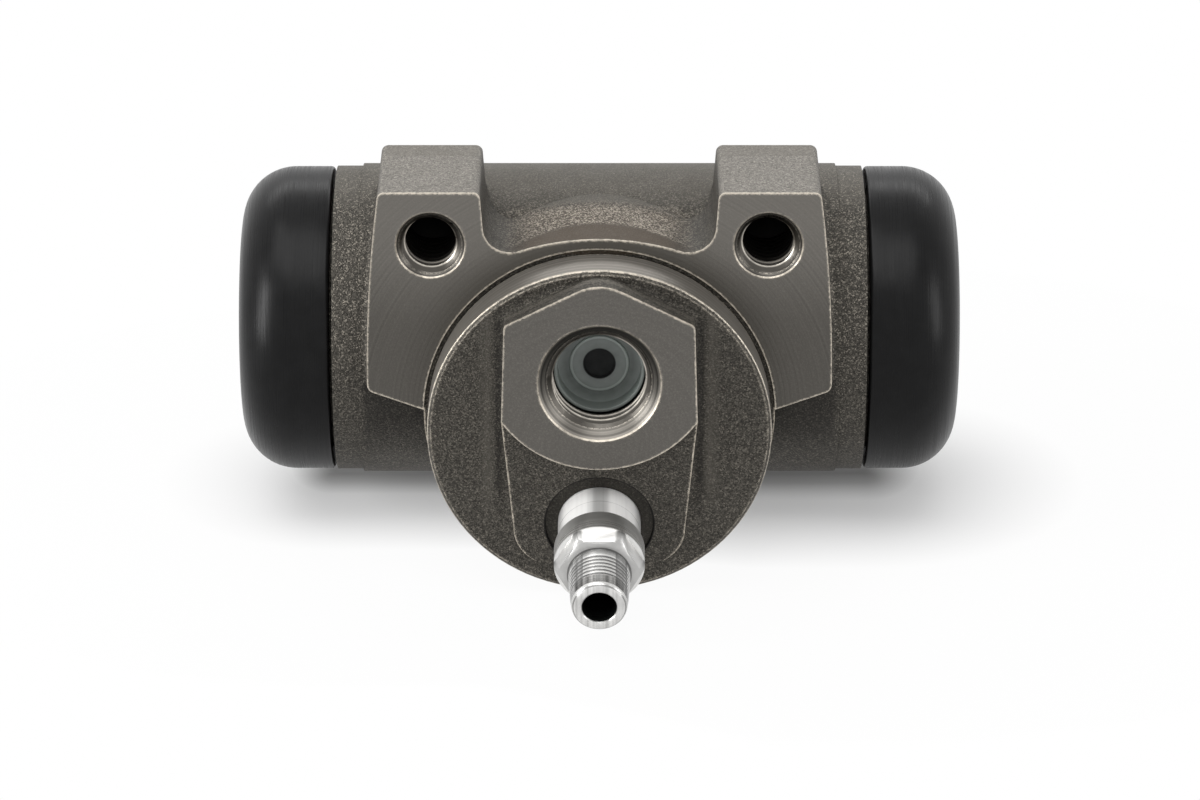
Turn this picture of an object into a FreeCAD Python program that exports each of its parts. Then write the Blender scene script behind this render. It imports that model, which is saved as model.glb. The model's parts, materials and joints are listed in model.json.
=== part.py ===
import FreeCAD, Part
import math
import os
import Sketcher

# Wheel cylinder of a drum brake, as it comes new for fitting.
# A cast iron housing carries two opposed pistons in one through bore.
# A spring between the pistons keeps their rubber cups seated.
# Rubber dust boots close both ends, a bleed screw vents the bore,
# and a push-in plug keeps dirt out of the pipe port until it is fitted.
#
# Frame: +X runs along the bore, the mounting face looks along -Y,
# and +Z points to the two mounting lugs.
# The origin is the centre of the spigot, on the mounting face.

# Driving sizes in millimetres and degrees: word, number, what it measures.
SIZES = [
    ("bore_radius", 10.32, "bore of the cylinder"),
    ("seat_groove_wall", 1.78, "bore to the bottom of the groove that holds the boot"),
    ("seat_groove_depth", 0.8, "depth of the groove that holds the boot"),
    ("seat_groove_width", 2.0, "width of the groove that holds the boot"),
    ("seat_groove_inset", 1.1, "shoulder to the groove"),
    ("seat_length", 4.2, "length of the reduced end that a boot is pushed over"),
    ("shoulder_height", 2.2, "height of the shoulder at the reduced end"),
    ("collar_step", 0.25, "how far the barrel is dressed down outside the lugs"),
    ("collar_length", 2.6, "length of the barrel that is dressed down"),
    ("barrel_ledge", 0.9, "widest place of the mounting face to where the barrel is dressed down"),
    ("barrel_stand_off", 1.85, "mounting face to the nearest side of the barrel"),
    ("barrel_above", 2.1, "spigot's upper edge to the barrel's top"),
    ("mouth_chamfer", 0.8, "lead-in at the bore's mouths"),
    ("lug_above", 5.3, "mounting holes to the top of the lugs"),
    ("lug_depth", 13.7, "mounting face to the back of the lugs"),
    ("lug_inside", 4.75, "mounting hole to its lug's inner side, at the top"),
    ("lug_lean", 0.55, "how far a lug's inner side leans in on its way down"),
    ("lug_outside", 5.0, "mounting hole to its lug's outer side, at the top"),
    ("wing_flare", 1.3, "how far the mounting face widens from the lugs to its lower corners"),
    ("wing_bottom", 2.45, "lower corner of the mounting face above the centre"),
    ("wing_slope", 20.0, "angle of the mounting face's lower edges"),
    ("wing_overlap", 1.0, "how far those edges run on under the spigot"),
    ("wing_sweep", 147.0, "radius of the mounting face's outer edges"),
    ("arch_sink", 0.24, "how far the edge between the lugs lies below the barrel behind it"),
    ("arch_radius", 25.0, "radius of the edge between the lugs"),
    ("arch_corner", 2.6, "inside corner between a lug and the arch"),
    ("lug_corner", 0.7, "rounding of a lug's top corners"),
    ("wing_corner", 0.9, "rounding of the lower outer corners"),
    ("casting_fillet", 0.5, "casting fillet from the flange's sides and the lugs' backs to the barrel"),
    ("spigot_radius", 16.6, "turned spigot that centres the cylinder"),
    ("spigot_height", 4.75, "spigot's face in front of the mounting face"),
    ("spigot_chamfer", 0.35, "chamfer on the spigot's edge"),
    ("neck_step", 0.45, "how far the cast neck stands out beyond the spigot"),
    ("neck_depth", 6.5, "mounting face to the end of the neck's straight part"),
    ("neck_short", 4.7, "end of the neck's cone in front of the bore's axis"),
    ("neck_sink", 1.0, "how deep the end of the neck's cone lies inside the barrel's outline"),
    ("relief_depth", 0.4, "depth of the relief round the spigot's root"),
    ("relief_undercut", 0.2, "how far the relief cuts in under the spigot's wall"),
    ("bolt_half_spacing", 16.2, "middle to a mounting hole"),
    ("bolt_rise", 17.5, "mounting holes above the spigot's centre"),
    ("bolt_radius", 3.0, "nominal radius of the mounting thread"),
    ("bolt_depth", 10.0, "depth of the mounting thread"),
    ("bolt_countersink", 0.38, "countersink round a mounting hole"),
    ("drill_point", 118.0, "point angle of the drilled holes"),
    ("port_inset", 10.35, "spigot's upper edge to the pipe port"),
    ("port_radius", 5.0, "nominal radius of the port's thread"),
    ("port_depth", 10.0, "port's face to the end of its thread"),
    ("port_countersink", 0.98, "countersink round the port"),
    ("port_passage", 1.5, "radius of the passage from the port to the bore"),
    ("boss_height", 2.85, "port's face in front of the spigot's face"),
    ("boss_half_low", 9.4, "half width of the boss at its lower corners"),
    ("boss_half_high", 9.1, "half width of the boss at its shoulders"),
    ("boss_below", 3.95, "pipe port to the boss's lower corners"),
    ("boss_above", 5.85, "pipe port to the boss's shoulders"),
    ("boss_gable", 4.55, "boss's shoulders to where its two sloping sides would meet"),
    ("boss_peak_round", 4.7, "rounding of the boss's peak"),
    ("boss_arc", 11.4, "radius of the boss's lower edge"),
    ("boss_corner", 0.5, "rounding of the boss's shoulders"),
    ("pad_half_low", 8.3, "half width of the bleed pad at its lower corners"),
    ("pad_inset", 2.6, "spigot's lower edge to the lower end of the bleed pad"),
    ("pad_toe", 0.5, "lower end of the bleed pad to where its slope meets the spigot's face"),
    ("pad_corner", 4.2, "rounding of the bleed pad's lower corners"),
    ("bleed_tilt", 9.5, "bleed screw's axis below the horizontal"),
    ("bleed_inset", 7.34, "spigot's lower edge to the bleed screw, at its pad"),
    ("spot_room", 1.28, "width of the spot face round the bleed screw"),
    ("spot_depth", 0.3, "depth of the spot face"),
    ("bleed_depth", 9.5, "pad to the end of the bleed thread"),
    ("bleed_passage", 1.2, "radius of the passage from the bleed seat to the bore"),
    ("shank_radius", 4.0, "nominal radius of the bleed screw's thread"),
    ("screw_clearance", 0.05, "radial clearance of the bleed screw in its hole"),
    ("seat_gap", 0.05, "gap between the bleed screw's nose and its seat"),
    ("shank_out", 4.45, "pad to the bleed screw's collar"),
    ("collar_rim", 0.36, "how far the bleed screw's collar stands out"),
    ("collar_band", 2.75, "length of the collar below the bleed screw's flats"),
    ("flats_length", 1.0, "length of the flats up to their chamfer"),
    ("flats_chamfer", 0.6, "length of the chamfer over the flats"),
    ("flats_cut", 0.41, "how deep a flat is cut into the collar"),
    ("nipple_radius", 3.0, "hose nipple at its root"),
    ("nipple_taper", 0.32, "how much the hose nipple narrows to its tip"),
    ("nipple_length", 5.7, "length of the hose nipple"),
    ("screw_bore", 1.6, "bore of the bleed screw"),
    ("cross_hole", 0.8, "radius of the bleed screw's cross hole"),
    ("bore_run_on", 0.4, "how far the bleed screw's bore runs on past its cross hole"),
    ("nose_stem", 2.9, "radius of the bleed screw's stem behind its thread"),
    ("nose_stem_length", 2.6, "length of that stem"),
    ("nose_radius", 0.9, "flat at the end of the bleed screw's nose"),
    ("thread_chamfer", 0.4, "chamfer at the start of a thread"),
    ("piston_clearance", 0.03, "radial clearance of a piston in the bore"),
    ("piston_length", 13.5, "guided length of a piston"),
    ("piston_sink", 0.2, "casting's end to the shoulder of a piston at rest"),
    ("stem_step", 2.32, "how far a piston's outer stem is smaller than the bore"),
    ("stem_out", 4.8, "casting's end to the end of a piston's stem"),
    ("lip_groove_depth", 1.0, "depth of the groove for the boot's lip"),
    ("lip_groove_inset", 3.0, "end of a piston's stem to the start of that groove"),
    ("lip_groove_width", 1.5, "width of the groove for the boot's lip"),
    ("slot_half_width", 2.6, "half width of the slot for the shoe's web"),
    ("slot_depth", 4.6, "depth of the slot for the shoe's web"),
    ("piston_chamfer", 0.6, "chamfer on a piston's edges"),
    ("cup_clearance", 0.02, "radial clearance of a cup's lip in the bore"),
    ("cup_gap", 0.02, "gap between a piston and its cup"),
    ("cup_base", 2.2, "thickness of a cup's base"),
    ("cup_length", 6.2, "length of a cup"),
    ("cup_relief", 0.42, "how far a cup's base is smaller than the bore"),
    ("cup_chamfer", 0.5, "chamfer on a cup's base"),
    ("cup_lip_length", 1.6, "length of the straight part of a cup's lip"),
    ("cup_root", 3.32, "bore to a cup's hollow at its bottom"),
    ("cup_lip", 1.1, "thickness of a cup's lip at its edge"),
    ("sheet_thickness", 0.6, "steel sheet of a cup expander"),
    ("expander_flare", 2.9, "length of an expander's flared rim"),
    ("expander_gap", 0.05, "gap between an expander and the cup's base"),
    ("expander_side_gap", 0.4, "radial gap between an expander's rim and the cup's lip"),
    ("wire_radius", 0.5, "wire of the return spring"),
    ("coil_room", 2.0, "return spring's mean radius inside a cup's hollow"),
    ("spring_turns", 8, "turns of the return spring, with one closed turn at each end"),
    ("closed_gap", 0.06, "gap between the wire's neighbouring turns in a closed turn"),
    ("spring_gap", 0.03, "gap between the spring and an expander"),
    ("boot_skirt", 2.1, "wall of a dust boot over its seat"),
    ("boot_over", 0.3, "end of a piston's stem to the boot's outer end"),
    ("boot_round", 5.2, "rounding of a boot's outer end"),
    ("boot_wall", 1.95, "wall of a dust boot at its end"),
    ("boot_seam", 0.3, "gap between the casting's shoulder and a boot"),
    ("boot_fit", 0.05, "clearance of a boot on its seat and on the stem"),
    ("boot_throat", 1.0, "room round the stem in a boot's mouth"),
    ("plug_sink", 3.6, "port's face to the plug's rim"),
    ("plug_short", 0.8, "inner end of the port plug to the end of the port's thread"),
    ("plug_room", 0.58, "room round the port plug between its ribs"),
    ("plug_wall", 0.36, "wall of the plug's cup"),
    ("plug_cup_depth", 1.8, "depth of the plug's cup"),
    ("plug_ring_radius", 2.85, "ring moulded on the plug's floor"),
    ("plug_ring_height", 0.16, "height of that ring"),
    ("plug_dimple_radius", 1.5, "dimple in the middle of the plug"),
    ("plug_dimple_depth", 2.4, "depth of that dimple"),
    ("plug_gap", 0.02, "gap between the plug's ribs and the port"),
    ("rib_start", 0.9, "plug's rim to its first rib"),
    ("rib_width", 0.5, "width of a rib of the plug"),
    ("rib_rest", 1.2, "last rib to the plug's inner end"),
    ("cut_past", 1.0, "how far the outline of a cut runs on past the solid"),
]

# Sizes that follow from the ones above: word, formula, what it measures.
FITTED = [
    ("seat_groove_radius", "bore_radius + seat_groove_wall", "bottom of the groove that holds the boot"),
    ("seat_radius", "seat_groove_radius + seat_groove_depth", "reduced end that a boot is pushed over"),
    ("collar_radius", "seat_radius + shoulder_height", "barrel where it is dressed down"),
    ("barrel_radius", "collar_radius + collar_step", "cast barrel between the lugs"),
    ("bore_back", "barrel_radius + barrel_stand_off", "mounting face to the bore's axis"),
    ("bore_rise", "spigot_radius + barrel_above - barrel_radius", "bore's axis above the spigot's centre"),
    ("lug_top", "bolt_rise + lug_above", "top of the lugs above the spigot's centre"),
    ("lug_inner", "bolt_half_spacing - lug_inside", "middle to a lug's inner side, at its top"),
    ("lug_outer", "bolt_half_spacing + lug_outside", "middle to a lug's outer side, at its top"),
    ("wing_outer", "lug_outer + wing_flare", "middle to the widest place of the mounting face"),
    ("foot_rise", "sqrt(barrel_radius ^ 2 - (bore_back - lug_depth) ^ 2)", "bore's axis to the lugs' feet"),
    ("arch_top", "bore_rise + foot_rise - arch_sink", "edge between the lugs above the spigot's centre"),
    ("collar_start", "wing_outer + barrel_ledge", "middle to where the barrel is dressed down"),
    ("casting_half", "collar_start + collar_length", "middle to the shoulder under the boots"),
    ("casting_end", "casting_half + seat_length", "middle to the casting's end"),
    ("seat_groove_start", "casting_half + seat_groove_inset", "middle to the groove that holds the boot"),
    ("seat_groove_end", "seat_groove_start + seat_groove_width", "middle to that groove's far side"),
    ("neck_radius", "spigot_radius + neck_step", "cast neck behind the spigot"),
    ("neck_back", "bore_back - neck_short", "mounting face to where the neck has died into the barrel"),
    ("neck_back_radius", "barrel_radius - bore_rise - neck_sink", "radius of the neck's cone where it ends"),
    ("port_rise", "spigot_radius - port_inset", "pipe port above the spigot's centre"),
    ("boss_low", "port_rise - boss_below", "lower corners of the boss above the centre"),
    ("boss_shoulder", "port_rise + boss_above", "shoulders of the boss above the centre"),
    ("boss_peak", "boss_shoulder + boss_gable", "where the boss's two sloping sides would meet"),
    ("pad_low", "spigot_radius - pad_inset", "lower end of the bleed pad below the centre"),
    ("pad_run_out", "pad_low - pad_toe", "where the bleed pad's slope meets the spigot's face"),
    ("bleed_drop", "spigot_radius - bleed_inset", "bleed screw below the centre, at its pad"),
    ("spot_radius", "shank_radius + spot_room", "spot face round the bleed screw"),
    ("collar_screw_radius", "shank_radius + collar_rim", "collar of the bleed screw"),
    ("flats_start", "shank_out + collar_band", "pad to the start of the bleed screw's flats"),
    ("flats_end", "flats_start + flats_length", "pad to the start of the chamfer over the flats"),
    ("flats_half", "collar_screw_radius - flats_cut", "axis to a flat of the bleed screw"),
    ("nipple_start", "flats_end + flats_chamfer", "pad to the root of the hose nipple"),
    ("tip_radius", "nipple_radius - nipple_taper", "hose nipple at its tip"),
    ("screw_out", "nipple_start + nipple_length", "pad to the bleed screw's tip"),
    ("piston_shoulder", "casting_end - piston_sink", "middle to a piston's shoulder"),
    ("piston_inner", "piston_shoulder - piston_length", "middle to a piston's inner face"),
    ("stem_radius", "bore_radius - stem_step", "piston's outer stem"),
    ("stem_end", "casting_end + stem_out", "middle to the end of a piston's stem"),
    ("lip_groove_radius", "stem_radius - lip_groove_depth", "bottom of the groove for the boot's lip"),
    ("lip_groove_start", "stem_end - lip_groove_inset", "middle to the groove for the boot's lip"),
    ("lip_groove_end", "lip_groove_start + lip_groove_width", "middle to that groove's far side"),
    ("cup_base_radius", "bore_radius - cup_relief", "radius of a cup's base"),
    ("cup_hollow_radius", "bore_radius - cup_root", "radius of a cup's hollow at its bottom"),
    ("coil_radius", "cup_hollow_radius - coil_room", "mean radius of the return spring"),
    ("boot_radius", "seat_radius + boot_fit + boot_skirt", "outside of a dust boot"),
    ("boot_mouth", "stem_radius + boot_throat", "radius of a boot's mouth"),
    ("boot_end", "stem_end + boot_over", "middle to a boot's outer end"),
    ("plug_length", "port_depth - plug_sink - plug_short", "length of the port plug"),
    ("plug_radius", "port_radius - plug_room", "outside of the port plug between its ribs"),
    ("rib_pitch", "(plug_length - rib_start - rib_width - rib_rest) / 2", "distance between the plug's ribs"),
]

document = FreeCAD.newDocument("wheel_cylinder")
sheet = document.addObject("Spreadsheet::Sheet", "Sizes")
for row, (word, value, meaning) in enumerate(SIZES + FITTED, start=1):
    sheet.set(f"A{row}", word)
    sheet.set(f"B{row}", f"={value}")
    sheet.setAlias(f"B{row}", word)
    sheet.set(f"C{row}", meaning)
document.recompute()

WORDS = sorted((word for word, value, meaning in SIZES + FITTED), key=len, reverse=True)
ALONG_X = FreeCAD.Vector(1, 0, 0)
ALONG_Y = FreeCAD.Vector(0, 1, 0)
ALONG_Z = FreeCAD.Vector(0, 0, 1)
NEAR = 0.02


def number(text):
    """The value of a formula written with the sheet's words."""
    return float(sheet.evalExpression(text))


def formula(text):
    """The same formula for an object outside the sheet, which names the sheet before each word."""
    out = ""
    at = 0
    while at < len(text):
        word = next((w for w in WORDS if text.startswith(w, at)), "")
        starts = bool(word) and (at == 0 or not (text[at - 1].isalnum() or text[at - 1] == "_"))
        end = at + len(word)
        ends = end >= len(text) or not (text[end].isalnum() or text[end] == "_")
        if starts and ends:
            out += "Sizes." + word
            at = end
        else:
            out += text[at]
            at += 1
    return out


def tie(thing, path, text):
    """Bind one property of an object to a formula."""
    thing.setExpression(path, formula(text))


def new_body(name):
    body = document.addObject("PartDesign::Body", name)
    body.Label = name
    return body


def origin_part(body, role):
    return next(f for f in body.Origin.OriginFeatures if f.Role == role)


def new_sketch(body, name, role, across="0", up="0", out="0", turn="0"):
    """A sketch on one of the body's origin planes, shifted along its own axes and turned in its plane."""
    sketch = body.newObject("Sketcher::SketchObject", name)
    sketch.AttachmentSupport = [(origin_part(body, role), "")]
    sketch.MapMode = "FlatFace"
    angle = number(turn)
    sketch.AttachmentOffset = FreeCAD.Placement(
        FreeCAD.Vector(number(across), number(up), number(out)), FreeCAD.Rotation(ALONG_Z, angle)
    )
    for path, text in (("x", across), ("y", up), ("z", out)):
        if text != "0":
            tie(sketch, "AttachmentOffset.Base." + path, text)
    if turn != "0":
        tie(sketch, "AttachmentOffset.Rotation.Angle", turn)
    return sketch


def flat(x, y):
    return FreeCAD.Vector(x, y, 0)


def arc_between(start, end, radius, side):
    """The short arc from start to end that bulges to the given side of travel, and which end comes first."""
    chord = end.sub(start)
    middle = start.add(end).multiply(0.5)
    left = flat(-chord.y, chord.x).normalize()
    reach = math.sqrt(max(radius**2 - (chord.Length / 2) ** 2, 0.0))
    if side == "left":
        centre = middle.sub(left.multiply(reach))
        first, last = end, start
    else:
        centre = middle.add(left.multiply(reach))
        first, last = start, end
    begin = math.atan2(first.y - centre.y, first.x - centre.x)
    finish = math.atan2(last.y - centre.y, last.x - centre.x)
    if finish < begin:
        finish += 2 * math.pi
    circle = Part.Circle(centre, ALONG_Z, radius)
    return Part.ArcOfCircle(circle, begin, finish), side == "left"


def place_point(sketch, geometry, end, across, up, label):
    """Hold one end of a line or arc at the place that two formulas give."""
    for kind, text, axis in (("DistanceX", across, -2), ("DistanceY", up, -1)):
        if abs(number(text)) < 1e-9:
            sketch.addConstraint(Sketcher.Constraint("PointOnObject", geometry, end, axis))
        else:
            held = sketch.addConstraint(Sketcher.Constraint(kind, -1, 1, geometry, end, number(text)))
            name = kind + label
            sketch.renameConstraint(held, name)
            tie(sketch, "Constraints." + name, text)


def outline(sketch, corners, label="corner"):
    """Draw a closed outline through corners (across, up).

    A corner with a radius and a side leads to the next corner on an arc that bulges to that side.
    """
    points = [flat(number(corner[0]), number(corner[1])) for corner in corners]
    drawn = []
    for index, corner in enumerate(corners):
        start = points[index]
        end = points[(index + 1) % len(points)]
        if len(corner) == 2:
            geometry = sketch.addGeometry(Part.LineSegment(start, end), False)
            drawn.append((geometry, 1, 2))
            continue
        arc, backwards = arc_between(start, end, number(corner[2]), corner[3])
        geometry = sketch.addGeometry(arc, False)
        drawn.append((geometry, 2, 1) if backwards else (geometry, 1, 2))
    for index, (geometry, start, end) in enumerate(drawn):
        following, follow_start, _ = drawn[(index + 1) % len(drawn)]
        sketch.addConstraint(Sketcher.Constraint("Coincident", geometry, end, following, follow_start))
        across, up = corners[index][:2]
        place_point(sketch, geometry, start, across, up, f"_{label}_{index}")
        if len(corners[index]) > 2:
            hold_radius(sketch, geometry, corners[index][2], f"Radius_{label}_{index}")


def hold_radius(sketch, geometry, radius, name):
    held = sketch.addConstraint(Sketcher.Constraint("Radius", geometry, number(radius)))
    sketch.renameConstraint(held, name)
    tie(sketch, "Constraints." + name, radius)


def circle_at(sketch, across, up, radius, label="circle"):
    geometry = sketch.addGeometry(
        Part.Circle(flat(number(across), number(up)), ALONG_Z, number(radius)), False
    )
    place_point(sketch, geometry, 3, across, up, "_" + label)
    hold_radius(sketch, geometry, radius, "Radius_" + label)


def pad(body, name, sketch, length, back=False):
    feature = body.newObject("PartDesign::Pad", name)
    feature.Profile = sketch
    feature.Length = number(length)
    tie(feature, "Length", length)
    feature.Reversed = back
    return finished(body, feature, grows=True)


def pocket(body, name, sketch, length=None, back=False, centred=False):
    """Cut a sketch's outline out of the body, right through where no length is given."""
    feature = body.newObject("PartDesign::Pocket", name)
    feature.Profile = sketch
    feature.Reversed = back
    if length is None:
        feature.Type = "ThroughAll"
    else:
        feature.Length = number(length)
        tie(feature, "Length", length)
    if centred:
        feature.SideType = "Symmetric"
    return finished(body, feature, grows=False)


def turn_on(body, name, sketch):
    feature = body.newObject("PartDesign::Revolution", name)
    feature.Profile = sketch
    feature.ReferenceAxis = (sketch, ["H_Axis"])
    feature.Angle = 360
    return finished(body, feature, grows=True)


def turn_off(body, name, sketch):
    feature = body.newObject("PartDesign::Groove", name)
    feature.Profile = sketch
    feature.ReferenceAxis = (sketch, ["H_Axis"])
    feature.Angle = 360
    return finished(body, feature, grows=False)


def settle(body, feature):
    """Recompute, make the feature the body's tip and make sure that its shape is sound."""
    document.recompute()
    body.Tip = feature
    if feature.Shape.isNull() or not feature.Shape.isValid():
        raise RuntimeError(f"{feature.Name} has no sound shape: {feature.State}")
    return feature


def finished(body, feature, grows):
    """Settle a feature and make sure that it added or took away material."""
    before = feature.BaseFeature.Shape.Volume if feature.BaseFeature else 0.0
    settle(body, feature)
    after = feature.Shape.Volume
    if (after <= before) if grows else (after >= before):
        raise RuntimeError(f"{feature.Name} changed the volume from {before:.3f} to {after:.3f}")
    return feature


def edge_names(feature, wanted):
    """Names of the feature's edges that pass a test."""
    edges = feature.Shape.Edges
    return [f"Edge{index}" for index, edge in enumerate(edges, start=1) if wanted(edge)]


def round_edges(body, name, base, radius, wanted):
    feature = body.newObject("PartDesign::Fillet", name)
    names = edge_names(base, wanted)
    if not names:
        raise RuntimeError(f"{name} found no edge")
    feature.Base = (base, names)
    feature.Radius = number(radius)
    tie(feature, "Radius", radius)
    return settle(body, feature)


def runs_along(edge, direction):
    """True for a straight edge that is parallel to a direction."""
    if not isinstance(edge.Curve, Part.Line):
        return False
    return abs(abs(edge.Curve.Direction.dot(direction)) - 1) < 1e-6


def stands_at(edge, across, up):
    """True for an edge parallel to Y whose middle is at a place across and up."""
    middle = edge.CenterOfMass
    return abs(abs(middle.x) - across) < NEAR and abs(middle.z - up) < NEAR


def both_sides(half, over_the_top=()):
    """A symmetric outline from its right half, which runs clockwise from the top to the bottom.

    A corner's arc leads to the next corner, and over_the_top is the arc that joins the two halves at the top.
    """
    mirrored = []
    for index in reversed(range(len(half))):
        across, up = half[index][:2]
        if across != "0":
            arc = half[index - 1][2:] if index > 0 else over_the_top
            mirrored.append((f"-({across})", up, *arc))
    return half + mirrored


def on_flange_foot(edge):
    """True for the edges where the flange's outer and lower sides and the lugs' backs meet the barrel."""
    box = edge.BoundBox
    middle = edge.CenterOfMass
    if runs_along(edge, ALONG_X):
        return abs(middle.y - number("lug_depth")) < NEAR and middle.z < number("lug_top") - NEAR
    if runs_along(edge, ALONG_Y) or box.YLength < NEAR:
        return False
    inside = box.YMin > NEAR and box.YMax < number("lug_depth") + NEAR
    beside = min(abs(box.XMin), abs(box.XMax)) > number("spigot_radius - wing_overlap") - NEAR
    return inside and beside and box.ZMax < number("bore_rise + barrel_radius")


BLEED_PLACE = dict(
    across="-spigot_height - (pad_run_out - bleed_drop) * tan(bleed_tilt * 1deg)",
    up="-bleed_drop",
    turn="bleed_tilt",
)


def build_housing():
    """The casting: barrel, mounting flange, spigot, port boss and bleed pad, then every bore and hole."""
    body = new_body("housing")

    # Barrel with its collars and the reduced ends that carry the boots.
    barrel = new_sketch(body, "barrel_profile", "XZ_Plane", up="bore_rise", out="-bore_back")
    half = [
        ("casting_end", "0"),
        ("casting_end", "-seat_radius"),
        ("seat_groove_end", "-seat_radius"),
        ("seat_groove_end", "-seat_groove_radius"),
        ("seat_groove_start", "-seat_groove_radius"),
        ("seat_groove_start", "-seat_radius"),
        ("casting_half", "-seat_radius"),
        ("casting_half", "-barrel_radius"),
    ]
    outline(barrel, both_sides(half))
    turn_on(body, "barrel", barrel)

    # Mounting flange: two lugs joined by an arch, with wings that run down to the spigot's neck.
    flange = new_sketch(body, "flange_outline", "XZ_Plane")
    inner_foot = "lug_inner - lug_lean"
    arch_foot = "arch_top - arch_radius + sqrt(arch_radius ^ 2 - (lug_inner - lug_lean) ^ 2)"
    wing_root = "spigot_radius - wing_overlap"
    wing_root_up = f"wing_bottom - (wing_outer - ({wing_root})) * tan(wing_slope * 1deg)"
    half = [
        (inner_foot, arch_foot),
        ("lug_inner", "lug_top"),
        ("lug_outer", "lug_top", "wing_sweep", "left"),
        ("wing_outer", "wing_bottom"),
        (wing_root, wing_root_up),
    ]
    outline(flange, both_sides(half, over_the_top=("arch_radius", "left")))
    lugs = pad(body, "flange", flange, "lug_depth", back=True)
    corners = [
        ("arch_corners", "arch_corner", inner_foot, arch_foot),
        ("lug_inner_corners", "lug_corner", "lug_inner", "lug_top"),
        ("lug_outer_corners", "lug_corner", "lug_outer", "lug_top"),
        ("wing_corners", "wing_corner", "wing_outer", "wing_bottom"),
    ]
    for name, radius, across, up in corners:
        place = (number(across), number(up))
        lugs = round_edges(
            body, name, lugs, radius, lambda e: runs_along(e, ALONG_Y) and stands_at(e, *place)
        )
    round_edges(body, "casting_fillets", lugs, "casting_fillet", on_flange_foot)

    # Collars: the barrel's ends are dressed down outside the lugs.
    collars = new_sketch(body, "collar_profile", "XZ_Plane", up="bore_rise", out="-bore_back")
    outside = "barrel_radius + casting_fillet"
    for side in ("", "-"):
        outline(
            collars,
            [
                (f"{side}(collar_start)", "-collar_radius"),
                (f"{side}(casting_half)", "-collar_radius"),
                (f"{side}(casting_half)", f"-({outside})"),
                (f"{side}(collar_start)", f"-({outside})"),
            ],
            label="right" if side == "" else "left",
        )
    turn_off(body, "collars", collars)

    # Spigot with its cast neck, turned about the spigot's own axis.
    spigot = new_sketch(body, "spigot_profile", "YZ_Plane")
    outline(
        spigot,
        [
            ("-spigot_height", "0"),
            ("neck_back", "0"),
            ("neck_back", "-neck_back_radius"),
            ("neck_depth", "-neck_radius"),
            ("relief_depth", "-neck_radius"),
            ("relief_depth", "-spigot_radius"),
            ("spigot_chamfer - spigot_height", "-spigot_radius"),
            ("-spigot_height", "spigot_chamfer - spigot_radius"),
        ],
    )
    turn_on(body, "spigot", spigot)
    relief = new_sketch(body, "relief_profile", "YZ_Plane")
    outline(
        relief,
        [
            ("0", "relief_undercut - spigot_radius"),
            ("0", "-neck_radius"),
            ("relief_depth", "-neck_radius"),
            ("relief_depth", "relief_undercut - spigot_radius"),
        ],
    )
    turn_off(body, "relief", relief)

    # Bleed pad: a raised pad whose face is cut back square to the bleed screw.
    bleed_pad = new_sketch(body, "bleed_pad_outline", "XZ_Plane", out="spigot_height")
    half = [
        ("boss_half_low", "boss_low"),
        ("pad_half_low", "pad_corner - pad_low", "pad_corner", "left"),
        ("pad_half_low - pad_corner", "-pad_low"),
    ]
    outline(bleed_pad, both_sides(half))
    pad(body, "bleed_pad", bleed_pad, "boss_height")
    slope = new_sketch(body, "bleed_slope", "YZ_Plane")
    slope_top = "-spigot_height - (pad_run_out + spigot_radius) * tan(bleed_tilt * 1deg)"
    beyond = "-spigot_height - boss_height * 4"
    outline(
        slope,
        [
            ("-spigot_height", "-pad_run_out"),
            (slope_top, "spigot_radius"),
            (beyond, "spigot_radius"),
            (beyond, "-pad_low - cut_past"),
            ("-spigot_height", "-pad_low - cut_past"),
        ],
    )
    pocket(body, "bleed_pad_face", slope, centred=True)

    # Port boss: flat machined face with a peaked top and an arc below.
    boss = new_sketch(body, "boss_outline", "XZ_Plane", out="spigot_height")
    slope = "atan((boss_peak - boss_shoulder) / boss_half_high)"
    peak_half = f"boss_peak_round * sin({slope})"
    half = [
        (peak_half, f"boss_peak - {peak_half} * tan({slope})"),
        ("boss_half_high", "boss_shoulder"),
        ("boss_half_low", "boss_low", "boss_arc", "left"),
    ]
    outline(boss, both_sides(half, over_the_top=("boss_peak_round", "left")))
    raised = pad(body, "boss", boss, "boss_height")
    place = (number("boss_half_high"), number("boss_shoulder"))
    round_edges(
        body,
        "boss_shoulders",
        raised,
        "boss_corner",
        lambda e: runs_along(e, ALONG_Y) and stands_at(e, *place),
    )

    # Bore, right through, with a lead-in at each mouth.
    bore = new_sketch(body, "bore_profile", "XZ_Plane", up="bore_rise", out="-bore_back")
    half = [
        ("casting_end - mouth_chamfer", "-bore_radius"),
        ("casting_end", "-bore_radius - mouth_chamfer"),
        ("casting_end + cut_past", "-bore_radius - mouth_chamfer"),
        ("casting_end + cut_past", "0"),
    ]
    outline(bore, both_sides(half))
    turn_off(body, "bore", bore)

    # Pipe port: countersink, thread, drilled end and the passage into the bore.
    face = "-spigot_height - boss_height"
    port = new_sketch(body, "port_profile", "YZ_Plane", up="port_rise")
    point = "tan((90 - drill_point / 2) * 1deg)"
    outline(
        port,
        [
            (face, "0"),
            (face, "-port_radius - port_countersink"),
            (face + " + port_countersink", "-port_radius"),
            (face + " + port_depth", "-port_radius"),
            (face + f" + port_depth + (port_radius - port_passage) * {point}", "-port_passage"),
            ("bore_back", "-port_passage"),
            ("bore_back", "0"),
        ],
    )
    turn_off(body, "port", port)

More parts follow.
